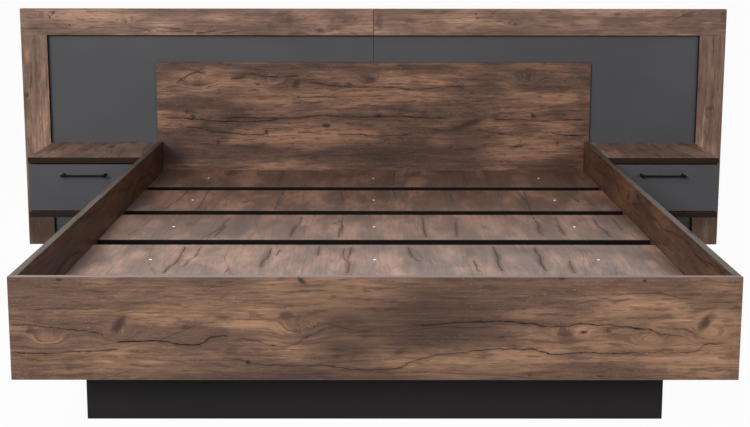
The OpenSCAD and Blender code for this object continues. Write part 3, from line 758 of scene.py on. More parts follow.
# %% The laminate itself
def timber_laminate(name, grain, shift, tones=PLANK_TONES, marks=None, joint=False,
                    edge=None, edge_axis=None, front_only=False, gloss=0.25,
                    crack_spacing=0.075, knot_share=0.3, knot_and_shade_colour=KNOT_AND_SHADE_BROWN,
                    fibre_depth=1.0, tick_depth=0.6, drawn_width=0.95 * MM):
    """Faces along edge_axis get the edge's colour; joint adds the panel's middle line."""
    material, tree, surface = new_material(name)
    along, across = plank_axes(tree, grain, shift)
    drift = noise(tree, flat_place(tree, along, across, 2.0, 5.0), 2.0)
    level = calculate(tree, "MULTIPLY_ADD", drift, 0.03, across)

    # Rings and everything after them bend round the big knots
    if marks:
        face_along, face_across, face = board_face(tree, grain)
        bend = strongest(tree, [ellipse(tree, face, *mark, 1.0, 0.0)
                                for mark in marks["bends"]])
        # Among the light ellipses is painted light, and among the dark ones painted shade and
        # painted shadow.
        light = [ellipse(tree, face, *mark) for mark in marks["light"]]
        big_knots_and_painted_shade = [ellipse(tree, face, *mark) for mark in marks["dark"]]
    else:
        distance, chance = scattered(tree, flat_place(tree, along, across, 2.3, 6.0))
        present = calculate(tree, "GREATER_THAN", chance, 0.55)
        bend = both(tree, fade(tree, distance, 0.0, 0.42, 1.0, 0.0), present)
        light = []
        big_knots_and_painted_shade = [both(tree, fade(tree, distance, 0.03, 0.1, 0.85, 0.0), present)]
    level = calculate(tree, "MULTIPLY_ADD", bend, 0.024, level)

    dark_brown = tones[2]
    colour = clouded(tree, along, level, tones, light)
    value, fine, long_fibres = fibred(tree, along, level, fibre_depth)
    ring = growth_rings(tree, along, across, level)
    value = both(tree, value, calculate(tree, "SUBTRACT", 1.0, ring))
    grey = add_node(tree, "ShaderNodeCombineColor", {0: value, 1: value, 2: value}).outputs[0]
    colour = mix_colours(tree, 1.0, colour, grey, "MULTIPLY")
    colour = ticked(tree, along, level, colour, dark_brown, tick_depth)

    # Knots and the dark ellipses, painted shade among them, are laid on in the knots' colour.
    knot_strength = 0.5 if marks else 1.0
    knots = [both(tree, mask, knot_strength)
             for mask in small_knots(tree, along, level, knot_share)]
    knot_and_painted_shade = strongest(tree, knots + big_knots_and_painted_shade)
    colour = mix_colours(tree, knot_and_painted_shade, colour, knot_and_shade_colour)

    line, halo = lane_cracks(tree, along, level, crack_spacing)
    if marks:
        lines, halos = zip(*[drawn_crack(tree, face_along, face_across, points,
                                         half_width * drawn_width)
                             for points, half_width in marks["cracks"]])
        line = strongest(tree, [both(tree, line, 0.45), *lines])
        halo = strongest(tree, [both(tree, halo, 0.3), *halos])
    colour = mix_colours(tree, halo, colour, dark_brown)
    colour = mix_colours(tree, line, colour, CRACK_BROWN)

    if edge:
        tint = mix_colours(tree, fade(tree, long_fibres, 0.3, 0.7, 0.0, 0.15),
                           edge, DARK_BROWN)
        colour = mix_colours(tree, facing(tree, edge_axis, not front_only), colour, tint)
    if joint:
        colour = joint_line(tree, colour)

    rough = fade(tree, long_fibres, 0.3, 0.7, 0.52, 0.42)
    rough = calculate(tree, "MULTIPLY_ADD", strongest(tree, [line, halo]), 0.5, rough)
    rough = calculate(tree, "MULTIPLY_ADD", knot_and_painted_shade, 0.2, rough, clamp=True)
    height = calculate(tree, "SUBTRACT", both(tree, fine, 0.3), line)
    set_inputs(tree, surface, {
        "Base Color": colour, "Roughness": rough, "Specular IOR Level": gloss,
        "Normal": bumps(tree, height, 0.3 * fibre_depth, 0.5 * MM)})
    return material


# %% [markdown]
# ## Laminate for every board
#
# The table below is the order list for the laminate: boards, direction of the grain,
# a shift that gives each group another part of the pattern, and the rest. The base
# boards have more gloss than the others, because the light that comes over the
# headboard glances off them towards the foot of the bed, and the side rails have
# less, because their narrow tops would shine too brightly under the lamps. Towards
# the headboard the base boards are painted darker, as they are in the photograph:
# that is painted shade, where the headboard and panel keep the light off them.

# %% Laminate for every board
FRAME = {"tones": FRAME_TONES}
RAIL = {"edge": RAIL_EDGE_PAINTED_SHEEN, "edge_axis": "Z", "gloss": 0.13}
NIGHTSTAND = {"edge": EDGE_BROWN, "edge_axis": "Y", "front_only": True, **FRAME}
BASE = {"edge": EDGE_BLACK, "edge_axis": "Y", "gloss": 0.5, "crack_spacing": 0.11,
        "knot_share": 0.1, "knot_and_shade_colour": KNOT_AND_SHADE_RED_BROWN, "fibre_depth": 0.28,
        "tick_depth": 0.3, "drawn_width": 0.6 * MM}
laminates = [
    (["footboard"], "X", (3.1, 0.0, 0.4),
     {"marks": FOOTBOARD_MARKS, "edge": EDGE_PAINTED_SHEEN, "edge_axis": "Z"}),
    (["headboard"], "X", (7.7, 0.0, 1.3), {"marks": HEADBOARD_MARKS, "tones": HEAD_TONES}),
    (["left_top_rail"], "X", (1.9, 2.0, 5.3),
     {"marks": LEFT_TOP_MARKS, "joint": True, **FRAME}),
    (["right_top_rail"], "X", (5.2, 4.0, 9.1),
     {"marks": RIGHT_TOP_MARKS, "joint": True, **FRAME}),
    (["left_stile", "right_stile"], "Z", (2.2, 3.3, 4.4),
     {"marks": STILE_MARKS, "edge": EDGE_BLACK, "edge_axis": "X", **FRAME}),
    (["left_side_rail"], "Y", (0.3, 2.6, 1.1), {"tones": LEFT_RAIL_SHADED_TONES, **RAIL}),
    (["right_side_rail"], "Y", (4.3, 6.1, 2.7), {"tones": RIGHT_RAIL_SHADED_TONES, **RAIL}),
    (["left_nightstand_top", "right_nightstand_top"], "Y", (6.6, 5.1, 2.1), NIGHTSTAND),
    (["left_nightstand_bottom", "right_nightstand_bottom"], "Y", (9.3, 8.8, 6.1), NIGHTSTAND),
]
# Painted shade: each base board nearer the headboard is darker, where the headboard and panel
# keep the light off it.
PAINTED_SHADE_TOWARDS_HEAD = (0.0, 0.0, 0.1, 0.22, 0.42)
for board, darker in zip(BASE_BOARDS, PAINTED_SHADE_TOWARDS_HEAD):
    tones = [tuple(channel * (1.0 - darker) for channel in tone[:3]) + (1.0,)
             for tone in BASE_TONES_AND_PAINTED_SHEEN]
    laminates.append(([board], "Y", (8.4, 1.7, 3.9),
                      {"marks": BASE_MARKS.get(board), "tones": tones, **BASE}))
for boards, grain, shift, details in laminates:
    dress(boards, timber_laminate("timber_" + boards[0], grain, shift, **details))

# %% [markdown]
# ## The graphite laminate
#
# The plain boards are almost one colour, but a real melamine face isn't quite
# even: it has a fine grain that breaks up highlights, and faint cloudiness. Both
# are noise again, once very fine in the bump and once large in the colour. The
# plinth and the boards that nobody sees are made the same way in other colours; the
# plinth's near black is the graphite with painted shade, for where it lies under the
# footboard.

# %% Graphite, plinth and plain boards
def stretch(tree, grain, along_scale, across_scale):
    """The place in the bed, scaled by one number along an axis and another across it."""
    scale = [across_scale, across_scale, across_scale]
    scale["XYZ".index(grain)] = along_scale
    node = add_node(tree, "ShaderNodeVectorMath", {0: place_on_bed(tree), 1: scale},
                    operation="MULTIPLY")
    return node.outputs[0]


def plain_laminate(name, dark, light, roughness, gloss=0.25, joint=False):
    material, tree, surface = new_material(name)
    clouds = noise(tree, stretch(tree, "X", 1.6, 2.6), 3.0, 0.6)
    specks = noise(tree, stretch(tree, "X", 900.0, 900.0), 2.0, 0.6)
    colour = mix_colours(tree, fade(tree, clouds, 0.3, 0.7), dark, light)
    colour = mix_colours(tree, fade(tree, specks, 0.45, 0.75, 0.0, 0.22), colour, light)
    if joint:
        colour = joint_line(tree, colour)
    set_inputs(tree, surface, {
        "Base Color": colour, "Specular IOR Level": gloss,
        "Roughness": fade(tree, specks, 0.3, 0.7, roughness - 0.05, roughness + 0.05),
        "Normal": bumps(tree, specks, 0.15, 0.2 * MM)})
    return material


dress(GRAPHITE_BOARDS, plain_laminate("graphite_laminate", paint(64, 64, 66),
                                      paint(72, 72, 76), 0.5, joint=True))
# Painted shade: the plinth is the graphite, painted near black for the shade under the
# footboard.
dress(PLINTH_BOARDS, plain_laminate("plinth_graphite_painted_shade", paint(28, 26, 27),
                                    paint(34, 31, 32), 0.6, 0.12))
dress(PLAIN_BOARDS, plain_laminate("pale_grey_laminate", paint(150, 146, 140),
                                   paint(166, 162, 156), 0.5))

# %% [markdown]
# ## Beech
#
# Cleats and dowels are plain sanded beech, and beech is known by its many short dark
# flecks. Two layers of noise stretched along the grain are enough for it.

# %% Beech
def beech(name):
    material, tree, surface = new_material(name)
    fibres = noise(tree, stretch(tree, "Y", 12.0, 400.0), 3.0, 0.6)
    flecks = noise(tree, stretch(tree, "Y", 60.0, 900.0), 1.0)
    colour = mix_colours(tree, fibres, paint(190, 152, 108), paint(216, 184, 142))
    colour = mix_colours(tree, fade(tree, flecks, 0.62, 0.72, 0.0, 0.6), colour,
                         paint(150, 108, 70))
    set_inputs(tree, surface, {"Base Color": colour, "Roughness": 0.6})
    return material


dress(BEECH_PIECES, beech("sanded_beech"))

# %% [markdown]
# ## Metal, paint and plastic
#
# Zinc plating is a dull metal with a faint cloudy pattern, and the runners are
# brighter rolled sheet with fine lines along them. Paint, moulded plastic and edge
# bands aren't metal: each is one colour with a fine grit that takes away the shine.

# %% Metal, paint and plastic
def plated_metal(name, dark, light, roughness, streak_axis=None):
    material, tree, surface = new_material(name)
    if streak_axis:
        pattern = noise(tree, stretch(tree, streak_axis, 8.0, 1500.0), 2.0)
    else:
        pattern = noise(tree, stretch(tree, "X", 120.0, 120.0), 3.0, 0.65)
    set_inputs(tree, surface, {
        "Base Color": mix_colours(tree, fade(tree, pattern, 0.3, 0.7), dark, light),
        "Roughness": fade(tree, pattern, 0.3, 0.7, roughness - 0.06, roughness + 0.08),
        "Metallic": 1.0})
    return material


def matt_coat(name, dark, light, roughness, gloss, along_scale=1400.0, across_scale=1400.0):
    material, tree, surface = new_material(name)
    grit = noise(tree, stretch(tree, "X", along_scale, across_scale), 2.0, 0.6)
    set_inputs(tree, surface, {
        "Base Color": mix_colours(tree, grit, dark, light), "Roughness": roughness,
        "Specular IOR Level": gloss, "Normal": bumps(tree, grit, 0.2, 0.1 * MM)})
    return material


dull_zinc = plated_metal("dull_zinc", paint(150, 148, 142), paint(186, 184, 178), 0.42)
bright_zinc = plated_metal("bright_zinc", paint(232, 230, 226), paint(250, 248, 244), 0.5)
rolled_steel = plated_metal("rolled_steel", paint(178, 180, 182), paint(212, 213, 214),
                            0.32, "Y")
black_paint = matt_coat("black_paint", paint(2, 2, 2), paint(12, 12, 12), 0.42, 0.06)
black_plastic = matt_coat("black_plastic", paint(16, 16, 16), paint(26, 26, 26), 0.6, 0.06)

dress(["cleat_screws", "corner_brackets", "bearer_brackets", "small_screws", "panel_screws",
       "joining_plates", "wall_hangers", "left_handle_screws", "right_handle_screws"], dull_zinc)
dress(["base_board_screws"], bright_zinc)
dress([f"{hand}_runner_{part}" for hand in HANDS for part in ("channels", "slides")],
      rolled_steel)
dress([f"{hand}_drawer_handle" for hand in HANDS], black_paint)
dress(["panel_feet"], black_plastic)

# %% [markdown]
# ## Places in the joiner's millimetres
#
# A drawing of this bed measures from the face of the footboard, in millimetres,
# while the model measures in metres from the middle of the floor below it. One
# helper turns the first into the second, so that the fittings below can use the
# numbers of the drawing. A fitting is turned about x, then y, then z.

# %% Helpers for places
FOOT_FACE = 1026.25
# Turns that occur often, in degrees about x, y and z
AS_DRAWN, DOWNWARDS, FROM_BEHIND, FROM_FOOT = (0, 0, 0), (180, 0, 0), (90, 0, 0), (-90, 0, 0)


def metres(*millimetres):
    return Vector(millimetres) * MM


def on_bed(x, y, z):
    """A point of the drawing, with y measured from the footboard's face."""
    return metres(x, y - FOOT_FACE, z)


def standing(point, turns=AS_DRAWN):
    spin = Euler([math.radians(turn) for turn in turns], "XYZ").to_matrix().to_4x4()
    return Matrix.Translation(on_bed(*point)) @ spin


print("the footboard's face lies at y =", round(on_bed(0, 0, 0).y, 5), "m")

# %% [markdown]
# ## From points to pieces
#
# Screws, brackets, feet, runners and handles are all built in the same three steps.
# Rings of points are joined by walls, the finished shape becomes a mesh, and copies
# of the mesh go to their places. BMesh is Blender's workbench for that: points and
# faces can be added one by one, and only the result is kept. Modelling by hand would
# work too, but a list of sizes is easier to check against the drawing.

# %% Helpers for meshes
def join_rings(build, rings):
    """Walls between each ring of points and the next one."""
    for first, second in zip(rings, rings[1:]):
        for i in range(len(first)):
            k = (i + 1) % len(first)
            build.faces.new((first[i], first[k], second[k], second[i]))


def to_mesh(name, build):
    mesh = bpy.data.meshes.new(name)
    build.to_mesh(mesh)
    build.free()
    return mesh


def closed_mesh(name, build):
    """The same, with every face turned to look outwards."""
    bmesh.ops.recalc_face_normals(build, faces=build.faces)
    return to_mesh(name, build)


def solid_of_rings(name, rings):
    """Walls between the rings, which are lists of points, and a lid at each end."""
    build = bmesh.new()
    rings = [[build.verts.new(point) for point in ring] for ring in rings]
    join_rings(build, rings)
    build.faces.new(rings[0][::-1])
    build.faces.new(rings[-1])
    return closed_mesh(name, build)


def carried(name, sections):
    """A solid from outlines in millimetres, each carried to its height along the axis."""
    return solid_of_rings(name, [[metres(x, y, height) for x, y in outline]
                                 for height, outline in sections])


def gathered(name, placed_meshes):
    """One mesh that holds a copy of each mesh at its place."""
    build = bmesh.new()
    for mesh, place in placed_meshes:
        first_new = len(build.verts)
        build.from_mesh(mesh)
        build.verts.ensure_lookup_table()
        bmesh.ops.transform(build, matrix=place, verts=build.verts[first_new:])
    return to_mesh(name, build)


def new_piece(name, mesh, material):
    mesh.materials.append(material)
    piece = bpy.data.objects.new(name, mesh)
    bpy.context.scene.collection.objects.link(piece)
    return piece


def set_out(node, pattern, places, material, body="root", crease=35):
    """Copies one fitting to all its places, as the piece that stands for a CAD node."""
    mesh = gathered(node + "_shaped", [(pattern, place) for place in places])
    mesh.shade_smooth()
    mesh.set_sharp_from_angle(angle=math.radians(crease))
    piece = new_piece(node + "_shaped", mesh, material)
    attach(piece, body)
    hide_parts(node)
    print(piece.name, "has", len(places), "of them and", len(mesh.vertices), "points")


# %% [markdown]
# ## Screws
#
# A wood screw has a head with a cross recess, a neck, and a thread that runs to a
# point. Three heads are used: a flat one that sinks flush into wood, one that is
# slightly domed, on the base boards, and a raised one that bears on a metal plate.
# A screw is round, so most of it is made as on a lathe: a profile, turned about the
# axis. The recess isn't round, so its rim is a list of radii, one for each angle.
# The thread is a strip that climbs as it goes round.

# %% The cross recess
RECESS_ARM = 2.1
RECESS_HALF_WIDTH = 0.55
RECESS_DEPTH = 1.3
RECESS_FLOOR = 0.55
arm_corner = math.degrees(math.atan2(RECESS_HALF_WIDTH, RECESS_ARM))
quarter = [0, arm_corner / 2, arm_corner, 22, 32, 45, 58, 68,
           90 - arm_corner, 90 - arm_corner / 2]
SCREW_ANGLES = [math.radians(turn * 90 + step) for turn in range(4) for step in quarter]


def recess_radius(angle, size):
    """How far the cross reaches from the middle at this angle."""
    c, s = max(abs(math.cos(angle)), 1e-6), max(abs(math.sin(angle)), 1e-6)
    arm_x = min(RECESS_ARM / c, RECESS_HALF_WIDTH / s)
    arm_y = min(RECESS_ARM / s, RECESS_HALF_WIDTH / c)
    return max(arm_x, arm_y) * size


print("points round a screw head:", len(SCREW_ANGLES))

# %% [markdown]
# The thread climbs by one pitch in each turn of twelve steps. Its strip runs from the
# core to the crest, half a pitch further on, and back to the core of the next turn.
# Over the last three turns both get thinner, which makes the point.

# %% Head, neck and thread
THREAD_STEPS = 12
POINT_TURNS = 3
PLAIN_NECK = 2.0


def turned(radius, angle, height):
    """A point in millimetres, at an angle round the axis."""
    return metres(radius * math.cos(angle), radius * math.sin(angle), height)


def ring_of(build, radius, height):
    """One ring round a screw; radius is a number or a function of the angle."""
    reach = radius if callable(radius) else (lambda angle: radius)
    return [build.verts.new(turned(reach(angle), angle, height)) for angle in SCREW_ANGLES]


def screw_mesh(name, head_profile, length, crest=2.0, core=1.35, pitch=1.8):
    """A screw along +z. head_profile goes from the recess outwards and down to the neck."""
    build = bmesh.new()
    top = head_profile[0][1]
    thread_start = head_profile[-1][1] + PLAIN_NECK
    rings = [ring_of(build, lambda a: recess_radius(a, RECESS_FLOOR), top + RECESS_DEPTH),
             ring_of(build, lambda a: recess_radius(a, 1.0), top)]
    rings += [ring_of(build, radius, height) for radius, height in head_profile]
    rings.append(ring_of(build, core, thread_start))
    build.faces.new(rings[0])
    join_rings(build, rings)

    count = int((length - thread_start) / pitch * THREAD_STEPS)
    roots, crests = [], []
    for i in range(count + 1):
        angle = 2 * math.pi * i / THREAD_STEPS
        height = thread_start + (length - thread_start) * i / count
        taper = min(1.0, max((length - height) / (POINT_TURNS * pitch), 0.02))
        roots.append(build.verts.new(turned(core * taper, angle, height)))
        crests.append(build.verts.new(
            turned(crest * taper, angle, min(height + pitch / 2, length))))
    for i in range(count):
        build.faces.new((roots[i], roots[i + 1], crests[i + 1], crests[i]))
        k = i + THREAD_STEPS
        if k < count:
            build.faces.new((crests[i], crests[i + 1], roots[k + 1], roots[k]))
    return closed_mesh(name, build)


FLUSH_HEAD = [(3.8, 0.0), (4.0, 0.15), (3.9, 0.4), (2.0, 2.5)]
DOMED_HEAD = [(2.2, -0.75), (3.0, -0.55), (3.6, -0.28), (4.0, 0.05), (3.9, 0.3), (2.0, 2.5)]
RAISED_HEAD = [(2.2, -2.49), (2.9, -2.35), (3.5, -1.85), (3.9, -1.0), (4.0, -0.4), (4.0, 0.0),
               (2.0, 0.0)]
short_screw = screw_mesh("short_screw", RAISED_HEAD, 13)
handle_bolt = screw_mesh("handle_bolt", RAISED_HEAD, 30, core=1.7, pitch=0.8)
long_screw = screw_mesh("long_screw", FLUSH_HEAD, 30)
board_screw = screw_mesh("board_screw", DOMED_HEAD, 40)
print("points of a board screw:", len(board_screw.vertices))

# %% [markdown]
# Each row of screws is written as the joiner would mark it out: three on the middle
# line of every base board, six through each cleat, four in every bracket, and so on.
# A screw's own axis points into the wood, so it only needs its point and its turns.

# %% Screws of the base boards and cleats
FOOT_INSIDE = 16
BEARER_LINES = (-531, 0, 531)
BASE_BOARD_STEP, BASE_BOARD_WIDTH, BASE_TOP = 412.5, 350, 272
set_out("base_board_screws", board_screw,
        [standing((x, FOOT_INSIDE + i * BASE_BOARD_STEP + BASE_BOARD_WIDTH / 2, BASE_TOP),
                  DOWNWARDS) for i in range(len(BASE_BOARDS)) for x in BEARER_LINES],
        bright_zinc)

CLEAT_FACE, CLEAT_SCREW_HEIGHT = 680, 246
CLEAT_START, CLEAT_LENGTH, CLEAT_SCREWS = 76, 1880, 6
set_out("cleat_screws", long_screw,
        [standing((side * CLEAT_FACE, CLEAT_START + (k + 0.5) * CLEAT_LENGTH / CLEAT_SCREWS,
                   CLEAT_SCREW_HEIGHT), (0, side * 90, 0))
         for side in (-1, 1) for k in range(CLEAT_SCREWS)], dull_zinc)

# %% Where brackets, plates and hangers sit
PLATE = 2
BRACKET_MIDDLE = 208
BEARER_HALF = 8
BED_HALF_INSIDE, HEAD_INSIDE = 700, 2016
corner_places = [((-BED_HALF_INSIDE, FOOT_INSIDE), 0), ((BED_HALF_INSIDE, FOOT_INSIDE), 90),
                 ((BED_HALF_INSIDE, HEAD_INSIDE), 180), ((-BED_HALF_INSIDE, HEAD_INSIDE), 270)]
bearer_places = []
for x in BEARER_LINES:
    face = x + BEARER_HALF if x < 0 else x - BEARER_HALF
    bearer_places.append(((face, FOOT_INSIDE), 0 if x < 0 else 90))
    bearer_places.append(((face, HEAD_INSIDE), 270 if x < 0 else 180))
PANEL_FOOT, PANEL_HEIGHT, PANEL_HALF, PANEL_BACK = 20, 785, 1156, 2048
join_heights = [PANEL_FOOT + k * PANEL_HEIGHT for k in (0.13, 0.48, 0.83)]
hanger_lines = [k * PANEL_HALF for k in (-0.81, -0.27, 0.27, 0.81)]
HANGER_MIDDLE = 674
print("brackets:", len(corner_places + bearer_places), "plates:", len(join_heights),
      "hangers:", len(hanger_lines))

# %% Short screws, which hold the fittings
BRACKET_HOLE = 24
BRACKET_HOLE_RISE, JOINING_HOLE_RISE, HANGER_HOLE_RISE = 15, 10, 32
JOINING_HOLE_REACH = 38


def bracket_screw_places(corner, turn):
    """Two screws in each leg; the second leg's screws point a quarter turn back."""
    places = []
    c, s = math.cos(math.radians(turn)), math.sin(math.radians(turn))
    for rise in (-BRACKET_HOLE_RISE, BRACKET_HOLE_RISE):
        for (out, over), extra in (((BRACKET_HOLE, PLATE), 0), ((PLATE, BRACKET_HOLE), -90)):
            x, y = corner[0] + out * c - over * s, corner[1] + out * s + over * c
            places.append(standing((x, y, BRACKET_MIDDLE + rise), (90, 0, turn + extra)))
    return places


short_screw_places = [place for corner, turn in corner_places + bearer_places
                      for place in bracket_screw_places(corner, turn)]
short_screw_places += [standing((x, PANEL_BACK + PLATE, z + k), FROM_BEHIND)
                       for z in join_heights for x in (-JOINING_HOLE_REACH, JOINING_HOLE_REACH)
                       for k in (-JOINING_HOLE_RISE, JOINING_HOLE_RISE)]
short_screw_places += [standing((x, PANEL_BACK + PLATE, HANGER_MIDDLE + k), FROM_BEHIND)
                       for x in hanger_lines for k in (-HANGER_HOLE_RISE, HANGER_HOLE_RISE)]
set_out("small_screws", short_screw, short_screw_places, dull_zinc)

# %% Screws through the wall panel, and handle bolts
NIGHTSTAND_MIDDLE = 893
top_rail_points = [(60 + k * 351, 762) for k in range(4)]
stile_points = [(1113, PANEL_FOOT + k * 699) for k in (0.1, 0.45, 0.8)]
nightstand_points = [(NIGHTSTAND_MIDDLE + x * 116.18, z) for x in (-1, 1) for z in (220, 318)]
headboard_points = [(x, z) for x in (358, 644.4) for z in (254, 536)]
panel_points = top_rail_points + stile_points + nightstand_points + headboard_points
set_out("panel_screws", long_screw,
        [standing((side * x, PANEL_BACK, z), FROM_BEHIND)
         for side in (-1, 1) for x, z in panel_points], dull_zinc)

HANDLE_HEIGHT, HANDLE_HALF_SPAN = 309.5, 64
DRAWER_FRONT_BACK = 1690
for name, side in HANDS.items():
    set_out(name + "_handle_screws", handle_bolt,
            [standing((side * NIGHTSTAND_MIDDLE + k, DRAWER_FRONT_BACK, HANDLE_HEIGHT),
                      FROM_BEHIND) for k in (-HANDLE_HALF_SPAN, HANDLE_HALF_SPAN)],
            dull_zinc, name + "_drawer")

# %% [markdown]
# ## Bent brackets
#
# Each corner of the frame is held by a strip of 2 mm steel, bent to a right angle. A
# bend is never sharp: the press leaves a small radius. The free corners are rounded
# so that nobody is scratched. The bracket is built as a stack of L-shaped sections
# from bottom to top, and the legs of the lowest and highest ones are drawn in, which
# rounds the corners without a modifier.

# %% Brackets
BRACKET_LEG, BRACKET_HALF_HEIGHT, BRACKET_CORNER = 40, 30, 7
BRACKET_EDGE = 0.4
BEND_OUTSIDE = 4.0
BEND_STEPS, CORNER_STEPS = 6, 8


def bend_arc(radius):
    """The quarter circle of the bend, seen from above."""
    angles = [math.radians(180 + 90 * k / BEND_STEPS) for k in range(BEND_STEPS + 1)]
    return [(BEND_OUTSIDE + radius * math.cos(a), BEND_OUTSIDE + radius * math.sin(a))
            for a in angles]


def bracket_section(leg):
    """Points round the L: down one leg, out along the other, and back on the inside."""
    tip, thin = leg - BRACKET_EDGE, PLATE - BRACKET_EDGE
    inside = bend_arc(BEND_OUTSIDE - PLATE)[::-1]
    return ([(0.0, tip)] + bend_arc(BEND_OUTSIDE)
            + [(tip, 0.0), (leg, BRACKET_EDGE), (leg, thin), (tip, PLATE)] + inside
            + [(PLATE, tip), (thin, leg), (BRACKET_EDGE, leg)])


levels = []
for k in range(CORNER_STEPS + 1):
    angle = math.pi / 2 * (1 - k / CORNER_STEPS)
    height = BRACKET_HALF_HEIGHT - BRACKET_CORNER + BRACKET_CORNER * math.sin(angle)
    leg = BRACKET_LEG - BRACKET_CORNER + BRACKET_CORNER * math.cos(angle)
    levels.append((-height, leg))
levels += [(-height, leg) for height, leg in reversed(levels)]
bracket = carried("bracket", [(height, bracket_section(leg)) for height, leg in levels])
for node, places in (("corner_brackets", corner_places), ("bearer_brackets", bearer_places)):
    set_out(node, bracket, [standing((x, y, BRACKET_MIDDLE), (0, 0, turn))
                            for (x, y), turn in places], dull_zinc)

# %% [markdown]
# ## Flat plates with round corners
#
# The plates on the back of the panel are stamped from sheet. A stamped part is a flat
# outline with holes, given a thickness. Blender's 2D curve does exactly that: it
# fills the outline, leaves the holes open, and rounds the edge a little, as a stamp
# does. It is turned into a mesh at once, so that it can be copied to its places.

# %% Plates
STAMPED_EDGE = 0.3


def rounded_rectangle(width, height, corner, steps=6):
    points = []
    for turn, (sx, sy) in enumerate(((1, 1), (-1, 1), (-1, -1), (1, -1))):
        for k in range(steps + 1):
            angle = math.radians(90 * turn + 90 * k / steps)
            points.append((sx * (width / 2 - corner) + corner * math.cos(angle),
                           sy * (height / 2 - corner) + corner * math.sin(angle)))
    return points


def keyhole_outline(round_radius, slot_radius, rise, steps=20, slot_steps=8):
    """A round hole below and a narrow slot above it, as one outline."""
    open_angle = math.pi - math.asin(slot_radius / round_radius)
    angles = [-open_angle + 2 * open_angle * k / steps for k in range(steps + 1)]
    points = [(round_radius * math.sin(a), -rise - round_radius * math.cos(a))
              for a in angles]
    angles = [math.pi * k / slot_steps for k in range(slot_steps + 1)]
    return points + [(slot_radius * math.cos(a), rise + slot_radius * math.sin(a))
                     for a in angles]


def stamped(name, outlines):
    """The first outline is the plate and the others are holes, all in millimetres."""
    curve = bpy.data.curves.new(name, "CURVE")
    curve.dimensions = "2D"
    curve.fill_mode = "BOTH"
    curve.extrude = (PLATE / 2 - STAMPED_EDGE) * MM
    curve.bevel_depth = STAMPED_EDGE * MM
    curve.bevel_resolution = 1
    curve.offset = -STAMPED_EDGE * MM
    for outline in outlines:
        spline = curve.splines.new("POLY")
        spline.points.add(len(outline) - 1)
        for point, (x, y) in zip(spline.points, outline):
            point.co = (x * MM, y * MM, 0.0, 1.0)
        spline.use_cyclic_u = True
    holder = bpy.data.objects.new(name, curve)
    mesh = bpy.data.meshes.new_from_object(holder)
    bpy.data.objects.remove(holder)
    bpy.data.curves.remove(curve)
    print(name, "stamped with", len(mesh.vertices), "points")
    return mesh


joining_plate = stamped("joining_plate", [rounded_rectangle(100, 40, 8)])
hanger = stamped("hanger", [rounded_rectangle(40, 80, 10), keyhole_outline(5, 2.5, 8)])
set_out("joining_plates", joining_plate,
        [standing((0, PANEL_BACK + PLATE / 2, z), FROM_BEHIND) for z in join_heights],
        dull_zinc)
set_out("wall_hangers", hanger,
        [standing((x, PANEL_BACK + PLATE / 2, HANGER_MIDDLE), FROM_BEHIND)
         for x in hanger_lines], dull_zinc)

# %% [markdown]
# ## Feet
#
# The panel stands on six small moulded feet: a pad on the floor, a waist with ribs,
# and a plate under the board. Each is one outline carried upwards, with the ribs as
# a wavy version of that outline.

# %% Feet
def scaled(outline, x_scale, y_scale):
    return [(x * x_scale, y * y_scale) for x, y in outline]


foot_outline = rounded_rectangle(40, 16, 3)
waist = [(x, y * (0.82 if round(x) % 6 < 3 else 0.7))
         for x, y in scaled(foot_outline, 0.86, 1.0)]
foot = carried("foot", [
    (0.0, scaled(foot_outline, 0.97, 0.93)), (1.0, foot_outline), (4.5, foot_outline),
    (5.5, waist), (15.5, waist), (16.5, foot_outline), (20.0, foot_outline)])
FEET_LINE = 2040
set_out("panel_feet", foot, [standing((side * k * PANEL_HALF, FEET_LINE, 0))
                             for side in (-1, 1) for k in (0.04, 0.47, 0.9)],
        black_plastic)

# %% [markdown]
# ## Dowels
#
# The dowels are pressed beech with flutes that let the glue out. The outline is a
# circle whose points lie in turn on a larger and a smaller radius. Both ends are
# narrower and smooth, so that the dowel finds its hole.

# %% Dowels
FLUTES = 18


def fluted(radius, depth):
    angles = [math.pi * k / FLUTES for k in range(2 * FLUTES)]
    radii = [radius, radius - depth] * FLUTES
    return [(r * math.cos(a), r * math.sin(a)) for r, a in zip(radii, angles)]


dowel = carried("dowel", [(0.0, fluted(3.0, 0.0)), (1.2, fluted(4.0, 0.35)),
                          (28.8, fluted(4.0, 0.35)), (30.0, fluted(3.0, 0.0))])
# Through the plinth's front and back board into its sides
dowel_places = [standing((x, y, z), FROM_FOOT) for x in (-610, 610) for z in (40, 120)
                for y in (245, 1757)]
# Up from the plinth's front and back board into the bearers
dowel_places += [standing((x, y, 145)) for x in BEARER_LINES for y in (248, 1784)]
# From the sides of the nightstands into their top and bottom boards
dowel_places += [standing((side * x, y, z)) for side in (-1, 1) for x in (727, 1059)
                 for y in (1731.5, 1992) for z in (326, 182)]
set_out("dowels", dowel, dowel_places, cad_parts["dowels"].data.materials[0])

# %% [markdown]
# ## Runners
#
# A drawer hangs in two pairs of runners: a channel screwed to the case and a narrower
# slide on the drawer, with their open sides towards each other. They are rolled from
# thin sheet, so their corners are round. The outline of the U is carried along its
# length, and the slides travel with the drawer.

# %% Runners
SHEET = 1.2
RUNNER_LENGTH = 300
RUNNER_START, RUNNER_HEIGHT = 1692, 261
CHANNEL_WIDTH = 9.5
ROLLED_BEND, ROLLED_STEPS, ROLLED_EDGE = 2.2, 5, 0.3


